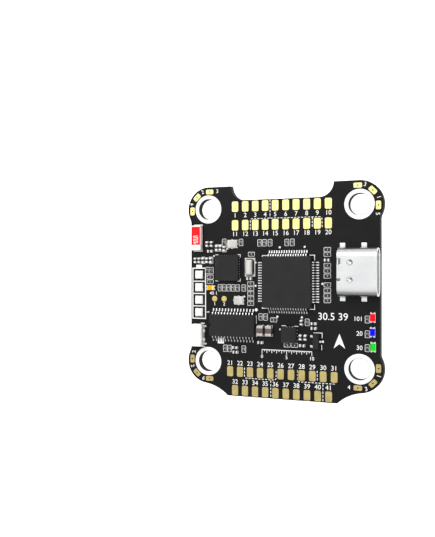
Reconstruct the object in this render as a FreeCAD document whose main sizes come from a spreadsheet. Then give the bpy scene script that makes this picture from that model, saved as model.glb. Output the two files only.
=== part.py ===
import FreeCAD, Part
import math
import os
import Sketcher
from FreeCAD import Vector, Placement, Rotation

# Flight controller board. Millimetres, +Z up, the board lies flat.
# Origin: centre of the square pattern of four mounting holes, on the
# underside of the bare circuit board. +Y points to the forward edge (the edge
# with the notch), +X to the edge with the USB socket.

os.makedirs("parts", exist_ok=True)
doc = FreeCAD.newDocument("FlightController")

# ---------------------------------------------------------------- dimensions
DIMS = [
    # bare board
    ("pcb_thick", 1.6), ("hole_pitch", 30.5), ("hole_rad", 2.0),
    ("ear_rad", 4.45), ("side_half", 19.05), ("side_blend", 2.0),
    ("notch_half", 10.4), ("notch_rad", 2.85), ("tab_half", 11.05),
    ("tab_edge", 21.9), ("tab_blend", 8.5),
    # pads
    ("pad_wide", 1.35), ("pad_long", 2.05), ("pad_corner", 0.3), ("copper", 0.05),
    ("tab_pad_wide", 1.3), ("tab_pad_long", 2.0),
    ("strip_pad_long", 1.6), ("strip_pad_wide", 0.95), ("strip_corner", 0.25), ("test_pad_rad", 0.56),
    ("pad_pitch", 2.1),
    # USB-C socket
    ("usb_len", 7.4), ("usb_wide", 8.94), ("usb_high", 3.2), ("usb_wall", 0.3),
    ("usb_back", 11.68), ("usb_mid", 2.68), ("usb_leg_len", 1.05), ("usb_leg_thick", 0.28),
    ("usb_solder_len", 1.05), ("usb_solder_wide", 0.98), ("usb_solder_high", 0.16),
    ("usb_insulator_len", 3.1), ("usb_tongue_len", 4.05), ("usb_tongue_wide", 6.69),
    ("usb_tongue_thick", 0.7), ("usb_contact_wide", 0.25), ("usb_contact_thick", 0.05),
    ("usb_contact_len", 3.2), ("usb_contact_pitch", 0.5),
    # main processor
    ("mcu_size", 10.0), ("mcu_high", 1.4), ("standoff", 0.1), ("mcu_chamfer", 0.22),
    ("mcu_x", 1.5), ("mcu_y", 0.73), ("mcu_pitch", 0.5), ("mcu_lead_wide", 0.22),
    ("lead_reach", 1.0), ("lead_foot", 0.6), ("lead_thick", 0.13), ("mcu_lead_z", 0.78),
    # wireless chip
    ("wifi_size", 5.0), ("wifi_high", 0.65), ("wifi_frame", 0.2), ("wifi_x", -11.0), ("wifi_y", 3.5),
    ("wifi_pitch", 0.5), ("wifi_term_wide", 0.24), ("wifi_term_len", 0.4), ("wifi_paddle", 3.4),
    # overlay chip
    ("osd_len", 9.7), ("osd_wide", 4.4), ("osd_high", 1.05), ("osd_chamfer", 0.18), ("osd_x", -9.85), ("osd_y", -7.93),
    ("osd_pitch", 0.65), ("osd_lead_wide", 0.24), ("osd_lead_z", 0.6),
    # motion sensor
    ("gyro_size", 3.0), ("gyro_high", 0.85), ("gyro_x", 1.8), ("gyro_y", -9.4),
    # small regulator
    ("reg_wide", 1.3), ("reg_len", 2.9), ("reg_high", 1.0), ("reg_chamfer", 0.12), ("reg_x", 7.2), ("reg_y", -10.45),
    ("reg_lead_wide", 0.4), ("reg_lead_reach", 0.55), ("reg_lead_foot", 0.3), ("reg_lead_z", 0.55),
    # crystals
    ("xtal_wide", 1.6), ("xtal_long", 3.2), ("xtal_base", 0.45), ("xtal_lid", 0.35), ("xtal_lip", 0.12),
    ("xs_long", 2.0), ("xs_wide", 1.6), ("xs_base", 0.35), ("xs_lid", 0.15), ("xs_lip", 0.2), ("xs_notch", 0.14),
    # antenna
    ("ant_wide", 1.95), ("ant_high", 1.1), ("ant_body", 3.6), ("ant_cap_rear", 1.1), ("ant_cap_front", 0.3),
    # lamps
    ("bat_wide", 1.6), ("bat_long", 1.6), ("bat_base", 0.28), ("bat_lens_wide", 1.0), ("bat_lens_high", 0.34),
    ("bat_term", 0.28),
    ("lamp_wide", 0.95), ("lamp_long", 1.4), ("lamp_high", 0.55), ("lamp_term", 0.25), ("lamp_term_high", 0.32),
    # ceramic capacitors and small chips
    ("capl_wide", 1.25), ("capl_body", 0.98), ("capl_term", 0.52), ("capl_high", 1.0),
    ("chip_wide", 0.5), ("res_body", 0.7), ("res_term", 0.15), ("res_high", 0.35),
    ("cap_body", 0.44), ("cap_term", 0.28), ("cap_high", 0.5),
    # boot switch
    ("sw_back", -16.25), ("sw_front", -18.3), ("sw_mid", -10.03), ("sw_wide", 4.44), ("sw_high", 1.65),
    ("sw_roof", 0.3), ("sw_floor", 0.25), ("sw_cav_wide", 3.9), ("sw_cav_deep", 1.5),
    ("plunger_wide", 3.8), ("plunger_out", 0.3), ("plunger_len", 1.36), ("plunger_gap", 0.05),
    ("plunger_nub_wide", 1.2), ("plunger_nub_len", 0.08),
    ("leaf_chord", 3.0), ("leaf_rise", 0.32), ("leaf_thick", 0.06), ("leaf_wide", 0.8),
    ("sw_plate_thick", 0.18), ("sw_plate_high", 1.5), ("sw_plate_wide", 4.1),
    ("sw_term_wide", 0.32), ("sw_term_len", 0.34), ("sw_term_high", 0.2),
    # underside: plug sockets
    ("plug_deep", 4.25), ("plug_high", 2.95), ("plug_rail", 0.08), ("plug_pitch", 1.0), ("esc_wide", 10.0), ("vid_wide", 8.0),
    ("plug_cav_high", 1.5), ("plug_cav_deep", 3.0), ("plug_wall", 0.55), ("plug_roof", 0.6),
    ("pin_wide", 0.3), ("pin_thick", 0.25), ("pin_z", 1.25), ("pin_in", 2.6), ("pin_out", 0.75),
    ("esc_front", -21.7), ("vid_front", 16.65), ("anchor_wide", 0.7), ("anchor_len", 1.6), ("anchor_high", 0.6),
    # underside: card socket
    ("card_wide", 13.6), ("card_deep", 13.9), ("card_high", 1.8), ("card_sheet", 0.15), ("card_floor", 0.6),
    ("card_front", -18.95), ("card_mid", 0.0), ("card_rear_wall", 0.8), ("card_contact_wide", 0.6),
    ("card_contact_len", 4.0), ("card_contact_thick", 0.12), ("card_pitch", 1.1),
    # underside: power parts
    ("ind_size", 4.0), ("ind_high", 1.9), ("ind_term", 0.15), ("ind_chamfer", 0.3),
    ("buck_wide", 1.6), ("buck_len", 2.9), ("buck_high", 1.0), ("buck_chamfer", 0.12),
    ("buck_lead_wide", 0.38), ("buck_lead_z", 0.55), ("buck_pitch", 0.95),
    ("bulk_wide", 1.6), ("bulk_body", 2.2), ("bulk_term", 0.5), ("bulk_high", 1.4),
    ("dio_wide", 2.6), ("dio_len", 4.3), ("dio_high", 2.0), ("dio_term_wide", 1.4), ("dio_term_len", 0.5), ("dio_chamfer", 0.3),
    ("baro_wide", 2.0), ("baro_long", 2.5), ("baro_base", 0.3), ("baro_lid", 0.65), ("baro_lip", 0.1), ("baro_vent", 0.15),
    ("sig_pad_wide", 1.1), ("sig_pad_long", 1.6),
]
sheet = doc.addObject("Spreadsheet::Sheet", "Dims")
for row, (alias, value) in enumerate(DIMS, start=1):
    sheet.set("A%d" % row, alias)
    sheet.set("B%d" % row, repr(value))
    sheet.setAlias("B%d" % row, alias)
doc.recompute()


def dim(alias):
    return float(sheet.get(alias))


T = dim("pcb_thick")
nodes = []


def bind(obj, **props):
    for name, expression in props.items():
        obj.setExpression(name.replace("__", "."), expression)
    return obj


def node(obj, label):
    obj.Label = label
    nodes.append(obj)
    return obj


# ------------------------------------------------------------ small helpers
def box(name, lx, ly, lz, cx="0", cy="0", z="0"):
    """A box centred on cx, cy with its lowest face at z, all from the sheet."""
    b = doc.addObject("Part::Box", name)
    bind(b, Length=lx, Width=ly, Height=lz)
    b.setExpression("Placement.Base.x", "(%s) - (%s) / 2" % (cx, lx))
    b.setExpression("Placement.Base.y", "(%s) - (%s) / 2" % (cy, ly))
    b.setExpression("Placement.Base.z", z)
    return b


def cyl(name, rad, high, cx="0", cy="0", z="0"):
    c = doc.addObject("Part::Cylinder", name)
    bind(c, Radius=rad, Height=high)
    c.setExpression("Placement.Base.x", cx)
    c.setExpression("Placement.Base.y", cy)
    c.setExpression("Placement.Base.z", z)
    return c


def cut(name, base, tools):
    tool = tools[0]
    if len(tools) > 1:
        tool = doc.addObject("Part::MultiFuse", name + "_tools")
        tool.Shapes = tools
    c = doc.addObject("Part::Cut", name)
    c.Base = base
    c.Tool = tool
    return c


def fuse(name, parts):
    f = doc.addObject("Part::MultiFuse", name)
    f.Shapes = parts
    return f


def group(name, parts):
    c = doc.addObject("Part::Compound", name)
    c.Links = parts
    return c


def array_of(name, master, spots):
    """Separate copies of one master piece. A spot is x, y, z, turn about Z,
    and True when the piece hangs under the board."""
    doc.recompute()
    shapes = []
    for spot in spots:
        x, y, z, turn = spot[:4]
        under = len(spot) > 4 and spot[4]
        turned = Rotation(Vector(0, 0, 1), turn)
        if under:
            turned = turned.multiply(Rotation(Vector(1, 0, 0), 180))
        copy = master.Shape.copy()
        copy.Placement = Placement(Vector(x, y, z), turned).multiply(master.Shape.Placement)
        shapes.append(copy)
    f = doc.addObject("Part::Feature", name)
    f.Shape = Part.makeCompound(shapes)
    f.Placement = Placement()
    return f


def plane(body, role):
    return [o for o in body.Origin.OriginFeatures if o.Role == role][0]


def sketch_on(body, name, role):
    s = body.newObject("Sketcher::SketchObject", name)
    s.AttachmentSupport = [(plane(body, role), "")]
    s.MapMode = "FlatFace"
    return s


def centred_rect(s, wide, high, mx="0", my="0"):
    """A rectangle of wide by high about mx, my, fully bound to the sheet."""
    doc.recompute()
    p = [Vector(-1, -1, 0), Vector(1, -1, 0), Vector(1, 1, 0), Vector(-1, 1, 0)]
    first = len(s.Geometry)
    for i in range(4):
        s.addGeometry(Part.LineSegment(p[i], p[(i + 1) % 4]), False)
    for i in range(4):
        s.addConstraint(Sketcher.Constraint("Coincident", first + i, 2, first + (i + 1) % 4, 1))
    s.addConstraint(Sketcher.Constraint("Horizontal", first))
    s.addConstraint(Sketcher.Constraint("Horizontal", first + 2))
    s.addConstraint(Sketcher.Constraint("Vertical", first + 1))
    s.addConstraint(Sketcher.Constraint("Vertical", first + 3))
    a = s.addConstraint(Sketcher.Constraint("DistanceX", first, 1, first, 2, 2.0))
    b = s.addConstraint(Sketcher.Constraint("DistanceY", first + 1, 1, first + 1, 2, 2.0))
    c = s.addConstraint(Sketcher.Constraint("DistanceX", -1, 1, first + 1, 2, 1.0))
    d = s.addConstraint(Sketcher.Constraint("DistanceY", -1, 1, first + 1, 2, 1.0))
    s.setExpression("Constraints[%d]" % a, wide)
    s.setExpression("Constraints[%d]" % b, high)
    s.setExpression("Constraints[%d]" % c, "(%s) + (%s) / 2" % (mx, wide))
    s.setExpression("Constraints[%d]" % d, "(%s) + (%s) / 2" % (my, high))


def pad(body, s, length, name, reverse=False, middle=False):
    p = body.newObject("PartDesign::Pad", name)
    p.Profile = s
    p.setExpression("Length", length)
    p.Reversed = reverse
    if middle:
        p.Midplane = True
    body.Tip = p
    return p


def moulded_chip(name, lx, ly, high, lift, chamfer):
    """A moulded chip body: a slab whose upper edges are bevelled."""
    body = doc.addObject("PartDesign::Body", name)
    s = sketch_on(body, name + "_outline", "XY_Plane")
    centred_rect(s, lx, ly)
    p = pad(body, s, high, name + "_slab")
    doc.recompute()
    top = max(range(len(p.Shape.Faces)), key=lambda i: p.Shape.Faces[i].CenterOfMass.z)
    c = body.newObject("PartDesign::Chamfer", name + "_bevel")
    c.Base = (p, ["Face%d" % (top + 1)])
    c.setExpression("Size", chamfer)
    body.Tip = c
    body.setExpression("Placement.Base.z", lift)
    doc.recompute()
    return body


def gull_lead(name, reach, foot, thick, shoulder_z, wide):
    """One gull-wing lead. It leaves the chip at x = 0 and runs to +X."""
    body = doc.addObject("PartDesign::Body", name)
    s = sketch_on(body, name + "_profile", "XZ_Plane")
    doc.recompute()
    r, f, k, z = dim(reach), dim(foot), dim(thick), dim(shoulder_z)
    knee = (r - f) * 0.45
    pts = [(0, z - k / 2), (knee, z - k / 2), (r - f, 0), (r, 0), (r, k), (r - f + k * 0.8, k),
           (knee + k * 0.8, z + k / 2), (0, z + k / 2)]
    n = len(pts)
    for i in range(n):
        a, b = pts[i], pts[(i + 1) % n]
        s.addGeometry(Part.LineSegment(Vector(a[0], a[1], 0), Vector(b[0], b[1], 0)), False)
    for i in range(n):
        s.addConstraint(Sketcher.Constraint("Coincident", i, 2, (i + 1) % n, 1))
    p = pad(body, s, wide, name + "_blade", middle=True)
    doc.recompute()
    return body


def round_rect_block(name, wide, long_, high, corner):
    """A pad: a plate with rounded corners, centred, lowest face at z = 0."""
    b = box(name + "_plate", wide, long_, high)
    doc.recompute()
    f = doc.addObject("Part::Fillet", name)
    f.Base = b
    edges = []
    for i, e in enumerate(b.Shape.Edges, start=1):
        a, c = e.Vertexes[0].Point, e.Vertexes[1].Point
        if abs(a.x - c.x) < 1e-6 and abs(a.y - c.y) < 1e-6:
            edges.append((i, dim(corner), dim(corner)))
    f.Edges = edges
    doc.recompute()
    return f


# ----------------------------------------------------------------- the board
pcb = doc.addObject("PartDesign::Body", "pcb_body")
outline = sketch_on(pcb, "pcb_outline", "XY_Plane")
doc.recompute()

half = dim("hole_pitch") / 2
ear = dim("ear_rad")
side = dim("side_half")
blend = dim("side_blend")
tab = dim("tab_blend")


def arc(cx, cy, rad, a0, a1):
    return Part.ArcOfCircle(Part.Circle(Vector(cx, cy, 0), Vector(0, 0, 1), rad),
                            math.radians(a0), math.radians(a1))


# where the side blend is tangent to the straight side and to the ear
ux = side + blend - half
uy = math.sqrt((blend + ear) ** 2 - ux ** 2)
side_c = (side + blend, half - uy)
touch = math.degrees(math.atan2(-uy, ux))
# the concave arc from the ear to the rear tab
tx, ty = dim("tab_half"), -dim("tab_edge")
best = None
dx, dy = tx - half, ty + half
gap = math.hypot(dx, dy)
r0, r1 = ear + tab, tab
along = (r0 ** 2 - r1 ** 2 + gap ** 2) / (2 * gap)
off = math.sqrt(r0 ** 2 - along ** 2)
for sign in (1, -1):
    px = half + along * dx / gap - sign * off * dy / gap
    py = -half + along * dy / gap + sign * off * dx / gap
    if best is None or py < best[1]:
        best = (px, py)
tab_c = best
ear_end = math.degrees(math.atan2(tab_c[1] + half, tab_c[0] - half))
tab_a0 = math.degrees(math.atan2(-half - tab_c[1], half - tab_c[0]))
tab_a1 = math.degrees(math.atan2(ty - tab_c[1], tx - tab_c[0]))
nh, nr = dim("notch_half"), dim("notch_rad")
top = half + ear


def on(cx, cy, rad, a):
    return Vector(cx + rad * math.cos(math.radians(a)), cy + rad * math.sin(math.radians(a)), 0)


right = [
    arc(nh - nr, top, nr, 270, 360),                                   # notch corner
    Part.LineSegment(Vector(nh, top, 0), Vector(half, top, 0)),        # ear top
    arc(half, half, ear, touch, 90),                                   # forward ear
    arc(side_c[0], side_c[1], blend, 180 + touch, 180),                # blend
    Part.LineSegment(Vector(side, side_c[1], 0), Vector(side, -side_c[1], 0)),
    arc(side_c[0], -side_c[1], blend, 180, 180 - touch),
    arc(half, -half, ear, ear_end, -touch),                            # rear ear
    arc(tab_c[0], tab_c[1], tab, tab_a0, tab_a1),                      # tab blend
]
mirror = FreeCAD.Matrix()
mirror.A11 = -1
edges = []
for g in right:
    edges.append(g)
    if isinstance(g, Part.LineSegment):
        a, b = g.StartPoint, g.EndPoint
        if abs(a.x - b.x) < 1e-9:
            edges.append(Part.LineSegment(Vector(-a.x, a.y, 0), Vector(-b.x, b.y, 0)))
        else:
            edges.append(Part.LineSegment(Vector(-a.x, a.y, 0), Vector(-b.x, b.y, 0)))
    else:
        c = g.Center
        a0, a1 = math.degrees(g.FirstParameter), math.degrees(g.LastParameter)
        edges.append(arc(-c.x, c.y, g.Radius, 180 - a1, 180 - a0))
edges.append(Part.LineSegment(Vector(-(nh - nr), top - nr, 0), Vector(nh - nr, top - nr, 0)))
edges.append(Part.LineSegment(Vector(-tx, ty, 0), Vector(tx, ty, 0)))
for g in edges:
    outline.addGeometry(g, False)
# neighbouring ends coincide
ends = []
for i in range(len(edges)):
    for pos in (1, 2):
        ends.append((i, pos, outline.getPoint(i, pos)))
done = set()
for a in range(len(ends)):
    for b in range(a + 1, len(ends)):
        if ends[a][0] != ends[b][0] and (ends[a][2] - ends[b][2]).Length < 1e-4:
            outline.addConstraint(Sketcher.Constraint("Coincident", ends[a][0], ends[a][1], ends[b][0], ends[b][1]))
board = pad(pcb, outline, "Dims.pcb_thick", "pcb_slab")
doc.recompute()
slab_volume = board.Shape.Volume
holes = sketch_on(pcb, "pcb_holes", "XY_Plane")
doc.recompute()
for i, (sx, sy) in enumerate([(1, 1), (-1, 1), (-1, -1), (1, -1)]):
    holes.addGeometry(Part.Circle(Vector(sx * half, sy * half, 0), Vector(0, 0, 1), dim("hole_rad")), False)
    r = holes.addConstraint(Sketcher.Constraint("Radius", i, dim("hole_rad")))
    x = holes.addConstraint(Sketcher.Constraint("DistanceX", -1, 1, i, 3, sx * half))
    y = holes.addConstraint(Sketcher.Constraint("DistanceY", -1, 1, i, 3, sy * half))
    holes.setExpression("Constraints[%d]" % r, "Dims.hole_rad")
    holes.setExpression("Constraints[%d]" % x, "%d * Dims.hole_pitch / 2" % sx)
    holes.setExpression("Constraints[%d]" % y, "%d * Dims.hole_pitch / 2" % sy)
drill = pcb.newObject("PartDesign::Pocket", "pcb_drill")
drill.Profile = holes
drill.Type = "ThroughAll"
drill.Reversed = True
pcb.Tip = drill
doc.recompute()
assert abs(slab_volume - drill.Shape.Volume - 4 * math.pi * dim("hole_rad") ** 2 * T) < 0.01
node(pcb, "pcb")

# ------------------------------------------------------------ pads of copper
fwd_x = [-9.45, -7.3, -5.2, -3.15, -1.1, 1.03, 3.1, 5.2, 7.28, 9.4]
pad_master = round_rect_block("edge_pad", "Dims.pad_wide", "Dims.pad_long", "Dims.copper", "pad_corner")
tab_master = round_rect_block("tab_pad", "Dims.tab_pad_wide", "Dims.tab_pad_long", "Dims.copper", "pad_corner")
node(array_of("forward_pads", pad_master,
              [(x, y, T, 0) for y in (15.6, 11.9) for x in fwd_x]), "solder_pads_forward")
node(array_of("rear_pads", tab_master,
              [((i - 5) * dim("pad_pitch"), -17.05, T, 0) for i in range(11)]
              + [((i - 4.5) * dim("pad_pitch"), -20.75, T, 0) for i in range(10)]), "solder_pads_rear")
strip = round_rect_block("strip_pad", "Dims.strip_pad_long", "Dims.strip_pad_wide", "Dims.copper", "strip_corner")
node(array_of("strip_pads", strip, [
    (-14.95, 18.75, T, 0), (-17.72, 17.72, T, 45), (-18.75, 14.95, T, 90),
    (14.95, 18.75, T, 0), (17.72, 17.72, T, -45), (18.75, 14.95, T, 90),
    (-18.75, -14.95, T, 90), (-17.72, -17.72, T, -45), (-14.95, -18.75, T, 0),
    (18.75, -14.95, T, 90), (17.72, -17.72, T, 45), (14.95, -18.75, T, 0)]), "led_strip_pads")
round_pads = [cyl("test_pad_%d" % i, "Dims.test_pad_rad", "Dims.copper", str(x), str(y), "Dims.pcb_thick")
              for i, (x, y) in enumerate([(-13.85, -2.7), (-11.8, -2.7)])]
node(group("round_pads", round_pads), "test_pads")
sig = round_rect_block("signal_pad", "Dims.sig_pad_wide", "Dims.sig_pad_long", "Dims.copper", "strip_corner")
node(array_of("signal_pads", sig, [((i - 3.5) * 1.6, -13.6, 0, 0, True) for i in range(8)]), "solder_pads_underside")

# ------------------------------------------------------------- USB-C socket
# The shell is a formed steel tube of stadium section, open to +X.
shell = doc.addObject("PartDesign::Body", "usb_tube")
prof = sketch_on(shell, "usb_section", "YZ_Plane")
doc.recompute()


def stadium(s, wide, high, wide_x, high_x):
    """A stadium centred on the sketch origin, bound to the sheet."""
    first = len(s.Geometry)
    rad = high / 2
    run = wide / 2 - rad
    s.addGeometry(Part.ArcOfCircle(Part.Circle(Vector(run, 0, 0), Vector(0, 0, 1), rad), -math.pi / 2, math.pi / 2), False)
    s.addGeometry(Part.ArcOfCircle(Part.Circle(Vector(-run, 0, 0), Vector(0, 0, 1), rad), math.pi / 2, 3 * math.pi / 2), False)
    s.addGeometry(Part.LineSegment(Vector(run, rad, 0), Vector(-run, rad, 0)), False)
    s.addGeometry(Part.LineSegment(Vector(-run, -rad, 0), Vector(run, -rad, 0)), False)
    add = lambda *a: s.addConstraint(Sketcher.Constraint(*a))
    add("Tangent", first, 2, first + 2, 1)
    add("Tangent", first + 2, 2, first + 1, 1)
    add("Tangent", first + 1, 2, first + 3, 1)
    add("Tangent", first + 3, 2, first, 1)
    add("PointOnObject", first, 3, -1)
    add("Symmetric", first, 3, first + 1, 3, -1, 1)
    r = add("Radius", first, rad)
    d = add("DistanceX", first + 1, 3, first, 3, 2 * run)
    s.setExpression("Constraints[%d]" % r, "(%s) / 2" % high_x)
    s.setExpression("Constraints[%d]" % d, "(%s) - (%s)" % (wide_x, high_x))


w, h, k = dim("usb_wide"), dim("usb_high"), dim("usb_wall")
stadium(prof, w, h, "Dims.usb_wide", "Dims.usb_high")
stadium(prof, w - 2 * k, h - 2 * k, "Dims.usb_wide - 2 * Dims.usb_wall", "Dims.usb_high - 2 * Dims.usb_wall")
pad(shell, prof, "Dims.usb_len", "usb_wrap")
bind(shell, Placement__Base__x="Dims.usb_back", Placement__Base__y="Dims.usb_mid",
     Placement__Base__z="Dims.pcb_thick + Dims.usb_high / 2")
doc.recompute()
legs = []
for i, (x, sgn) in enumerate([(12.12, 1), (16.14, 1), (12.12, -1), (16.14, -1)]):
    legs.append(box("usb_leg_%d" % i, "Dims.usb_leg_len", "Dims.usb_leg_thick", "Dims.usb_high / 2", str(x),
                    "Dims.usb_mid + %d * (Dims.usb_wide / 2 - Dims.usb_leg_thick / 2)" % sgn, "Dims.pcb_thick"))
slots = []
for i, y in enumerate((4.43, 1.25)):
    # three slits free a spring finger in the roof of the shell
    zz = "Dims.pcb_thick + Dims.usb_high - Dims.usb_wall * 1.5"
    slots.append(box("usb_slit_a%d" % i, "0.9", "0.13", "Dims.usb_wall * 2", "14.1", str(y + 0.5), zz))
    slots.append(box("usb_slit_b%d" % i, "0.9", "0.13", "Dims.usb_wall * 2", "14.1", str(y - 0.5), zz))
    slots.append(box("usb_slit_c%d" % i, "0.14", "1.13", "Dims.usb_wall * 2", "14.5", str(y), zz))
for i, (y, w_) in enumerate([(4.6, 1.0), (1.3, 0.36)]):
    slots.append(box("usb_crimp_%d" % i, "1.3", str(w_), "Dims.usb_wall * 0.4 * 2", "Dims.usb_back", str(y),
                     "Dims.pcb_thick + Dims.usb_high - Dims.usb_wall * 0.4"))
shell_full = cut("usb_shell", fuse("usb_shell_legs", [shell] + legs), slots)
node(shell_full, "usb_c_shell")

ins = doc.addObject("PartDesign::Body", "usb_block")
ip = sketch_on(ins, "usb_block_section", "YZ_Plane")
doc.recompute()
stadium(ip, w - 2 * k, h - 2 * k, "Dims.usb_wide - 2 * Dims.usb_wall", "Dims.usb_high - 2 * Dims.usb_wall")
pad(ins, ip, "Dims.usb_insulator_len", "usb_block_run")
bind(ins, Placement__Base__x="Dims.usb_back", Placement__Base__y="Dims.usb_mid",
     Placement__Base__z="Dims.pcb_thick + Dims.usb_high / 2")
doc.recompute()
node(ins, "usb_c_rear_insulator")
tongue = box("usb_tongue", "Dims.usb_tongue_len", "Dims.usb_tongue_wide", "Dims.usb_tongue_thick",
             "Dims.usb_back + Dims.usb_insulator_len + Dims.usb_tongue_len / 2", "Dims.usb_mid",
             "Dims.pcb_thick + Dims.usb_high / 2 - Dims.usb_tongue_thick / 2")
node(tongue, "usb_c_tongue")
contact = box("usb_contact", "Dims.usb_contact_len", "Dims.usb_contact_wide", "Dims.usb_contact_thick")
cx = dim("usb_back") + dim("usb_insulator_len") + dim("usb_contact_len") / 2
zc = T + dim("usb_high") / 2
ct = dim("usb_contact_thick")
spots = []
for i in range(12):
    y = dim("usb_mid") + (i - 5.5) * dim("usb_contact_pitch")
    spots.append((cx, y, zc + dim("usb_tongue_thick") / 2, 0))
    spots.append((cx, y, zc - dim("usb_tongue_thick") / 2 - ct, 0))
node(array_of("usb_contacts", contact, spots), "usb_c_contacts")
# solder at the four legs: flat pillows on the board
sol = box("usb_solder", "Dims.usb_solder_len", "Dims.usb_solder_wide", "Dims.usb_solder_high")
ylo = dim("usb_mid") - dim("usb_wide") / 2 - dim("usb_solder_wide") / 2
yhi = dim("usb_mid") + dim("usb_wide") / 2 + dim("usb_solder_wide") / 2
node(array_of("usb_solder_pads", sol, [(12.12, yhi, T, 0), (16.14, yhi, T, 0), (12.12, ylo, T, 0), (16.14, ylo, T, 0)]),
     "usb_c_leg_solder")

# ------------------------------------------------------------ main processor
mcu = moulded_chip("mcu_mould", "Dims.mcu_size", "Dims.mcu_size", "Dims.mcu_high", "Dims.pcb_thick + Dims.standoff",
                   "Dims.mcu_chamfer")
bind(mcu, Placement__Base__x="Dims.mcu_x", Placement__Base__y="Dims.mcu_y")
node(mcu, "main_processor_body")
mlead = gull_lead("mcu_lead", "lead_reach", "lead_foot", "lead_thick", "mcu_lead_z", "Dims.mcu_lead_wide")
spots = []
for side_i in range(4):
    a = side_i * 90
    ca, sa = math.cos(math.radians(a)), math.sin(math.radians(a))
    for i in range(16):
        u, v = dim("mcu_size") / 2, (i - 7.5) * dim("mcu_pitch")
        spots.append((dim("mcu_x") + u * ca - v * sa, dim("mcu_y") + u * sa + v * ca, T, a))
node(array_of("mcu_leads", mlead, spots), "main_processor_leads")

# ------------------------------------------------------------- wireless chip
wifi = moulded_chip("wifi_mould", "Dims.wifi_size", "Dims.wifi_size", "Dims.wifi_high", "Dims.pcb_thick + Dims.wifi_frame",
                    "Dims.xtal_lip")
bind(wifi, Placement__Base__x="Dims.wifi_x", Placement__Base__y="Dims.wifi_y")
node(wifi, "wireless_chip_body")
term = box("wifi_term", "Dims.wifi_term_len", "Dims.wifi_term_wide", "Dims.wifi_frame")
paddle = box("wifi_paddle_plate", "Dims.wifi_paddle", "Dims.wifi_paddle", "Dims.wifi_frame",
             "Dims.wifi_x", "Dims.wifi_y", "Dims.pcb_thick")
spots = []
for side_i in range(4):
    a = side_i * 90
    ca, sa = math.cos(math.radians(a)), math.sin(math.radians(a))
    for i in range(8):
        u, v = dim("wifi_size") / 2 - dim("wifi_term_len") / 2, (i - 3.5) * dim("wifi_pitch")
        spots.append((dim("wifi_x") + u * ca - v * sa, dim("wifi_y") + u * sa + v * ca, T, a))
node(group("wifi_frame_all", [array_of("wifi_terms", term, spots), paddle]), "wireless_chip_leadframe")

# -------------------------------------------------------------- overlay chip
osd = moulded_chip("osd_mould", "Dims.osd_len", "Dims.osd_wide", "Dims.osd_high", "Dims.pcb_thick + Dims.standoff",
                   "Dims.osd_chamfer")
bind(osd, Placement__Base__x="Dims.osd_x", Placement__Base__y="Dims.osd_y")
node(osd, "overlay_chip_body")
olead = gull_lead("osd_lead", "lead_reach", "lead_foot", "lead_thick", "osd_lead_z", "Dims.osd_lead_wide")
spots = []
for i in range(14):
    x = dim("osd_x") + (i - 6.5) * dim("osd_pitch")
    spots.append((x, dim("osd_y") + dim("osd_wide") / 2, T, 90))
    spots.append((x, dim("osd_y") - dim("osd_wide") / 2, T, -90))
node(array_of("osd_leads", olead, spots), "overlay_chip_leads")

# ------------------------------------------------------------- motion sensor
gyro = moulded_chip("gyro_mould", "Dims.gyro_size", "Dims.gyro_size", "Dims.gyro_high", "Dims.pcb_thick", "Dims.leaf_thick")
bind(gyro, Placement__Base__x="Dims.gyro_x", Placement__Base__y="Dims.gyro_y")
node(gyro, "motion_sensor_chip")

# ----------------------------------------------------------- small regulator
reg = moulded_chip("reg_mould", "Dims.reg_wide", "Dims.reg_len", "Dims.reg_high", "Dims.pcb_thick + Dims.standoff",
                   "Dims.reg_chamfer")
bind(reg, Placement__Base__x="Dims.reg_x", Placement__Base__y="Dims.reg_y")
node(reg, "regulator_body")
rlead = gull_lead("reg_lead", "reg_lead_reach", "reg_lead_foot", "lead_thick", "reg_lead_z", "Dims.reg_lead_wide")
rx = dim("reg_wide") / 2
node(array_of("reg_leads", rlead, [
    (dim("reg_x") - rx, dim("reg_y") + 0.95, T, 180), (dim("reg_x") - rx, dim("reg_y") - 0.95, T, 180),
    (dim("reg_x") + rx, dim("reg_y"), T, 0)]), "regulator_leads")

# ------------------------------------------------------------------ crystals
xb = [box("xtal_base_long", "Dims.xtal_wide", "Dims.xtal_long", "Dims.xtal_base", "-6.35", "3.6", "Dims.pcb_thick")]
xl = [box("xtal_lid_long", "Dims.xtal_wide - 2 * Dims.xtal_lip", "Dims.xtal_long - 2 * Dims.xtal_lip", "Dims.xtal_lid",
          "-6.35", "3.6", "Dims.pcb_thick + Dims.xtal_base")]
for i, (x, y) in enumerate([(-10.0, 8.2), (-8.6, -2.95)]):
    base = box("xs_block_%d" % i, "Dims.xs_long", "Dims.xs_wide", "Dims.xs_base", str(x), str(y), "Dims.pcb_thick")
    bites = [cyl("xs_bite_%d_%d" % (i, j), "Dims.xs_notch", "Dims.xs_base",
                 "%s + %d * Dims.xs_long / 2" % (x, sx), "%s + %d * Dims.xs_wide / 2" % (y, sy), "Dims.pcb_thick")
             for j, (sx, sy) in enumerate([(1, 1), (1, -1), (-1, 1), (-1, -1), (0, 1), (0, -1), (1, 0), (-1, 0)])]
    xb.append(cut("xs_base_%d" % i, base, bites))
    xl.append(box("xs_lid_%d" % i, "Dims.xs_long - 2 * Dims.xs_lip", "Dims.xs_wide - 2 * Dims.xs_lip", "Dims.xs_lid",
                  str(x), str(y), "Dims.pcb_thick + Dims.xs_base"))
node(group("xtal_bases", xb), "crystal_bases")
node(group("xtal_lids", xl), "crystal_lids")

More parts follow.
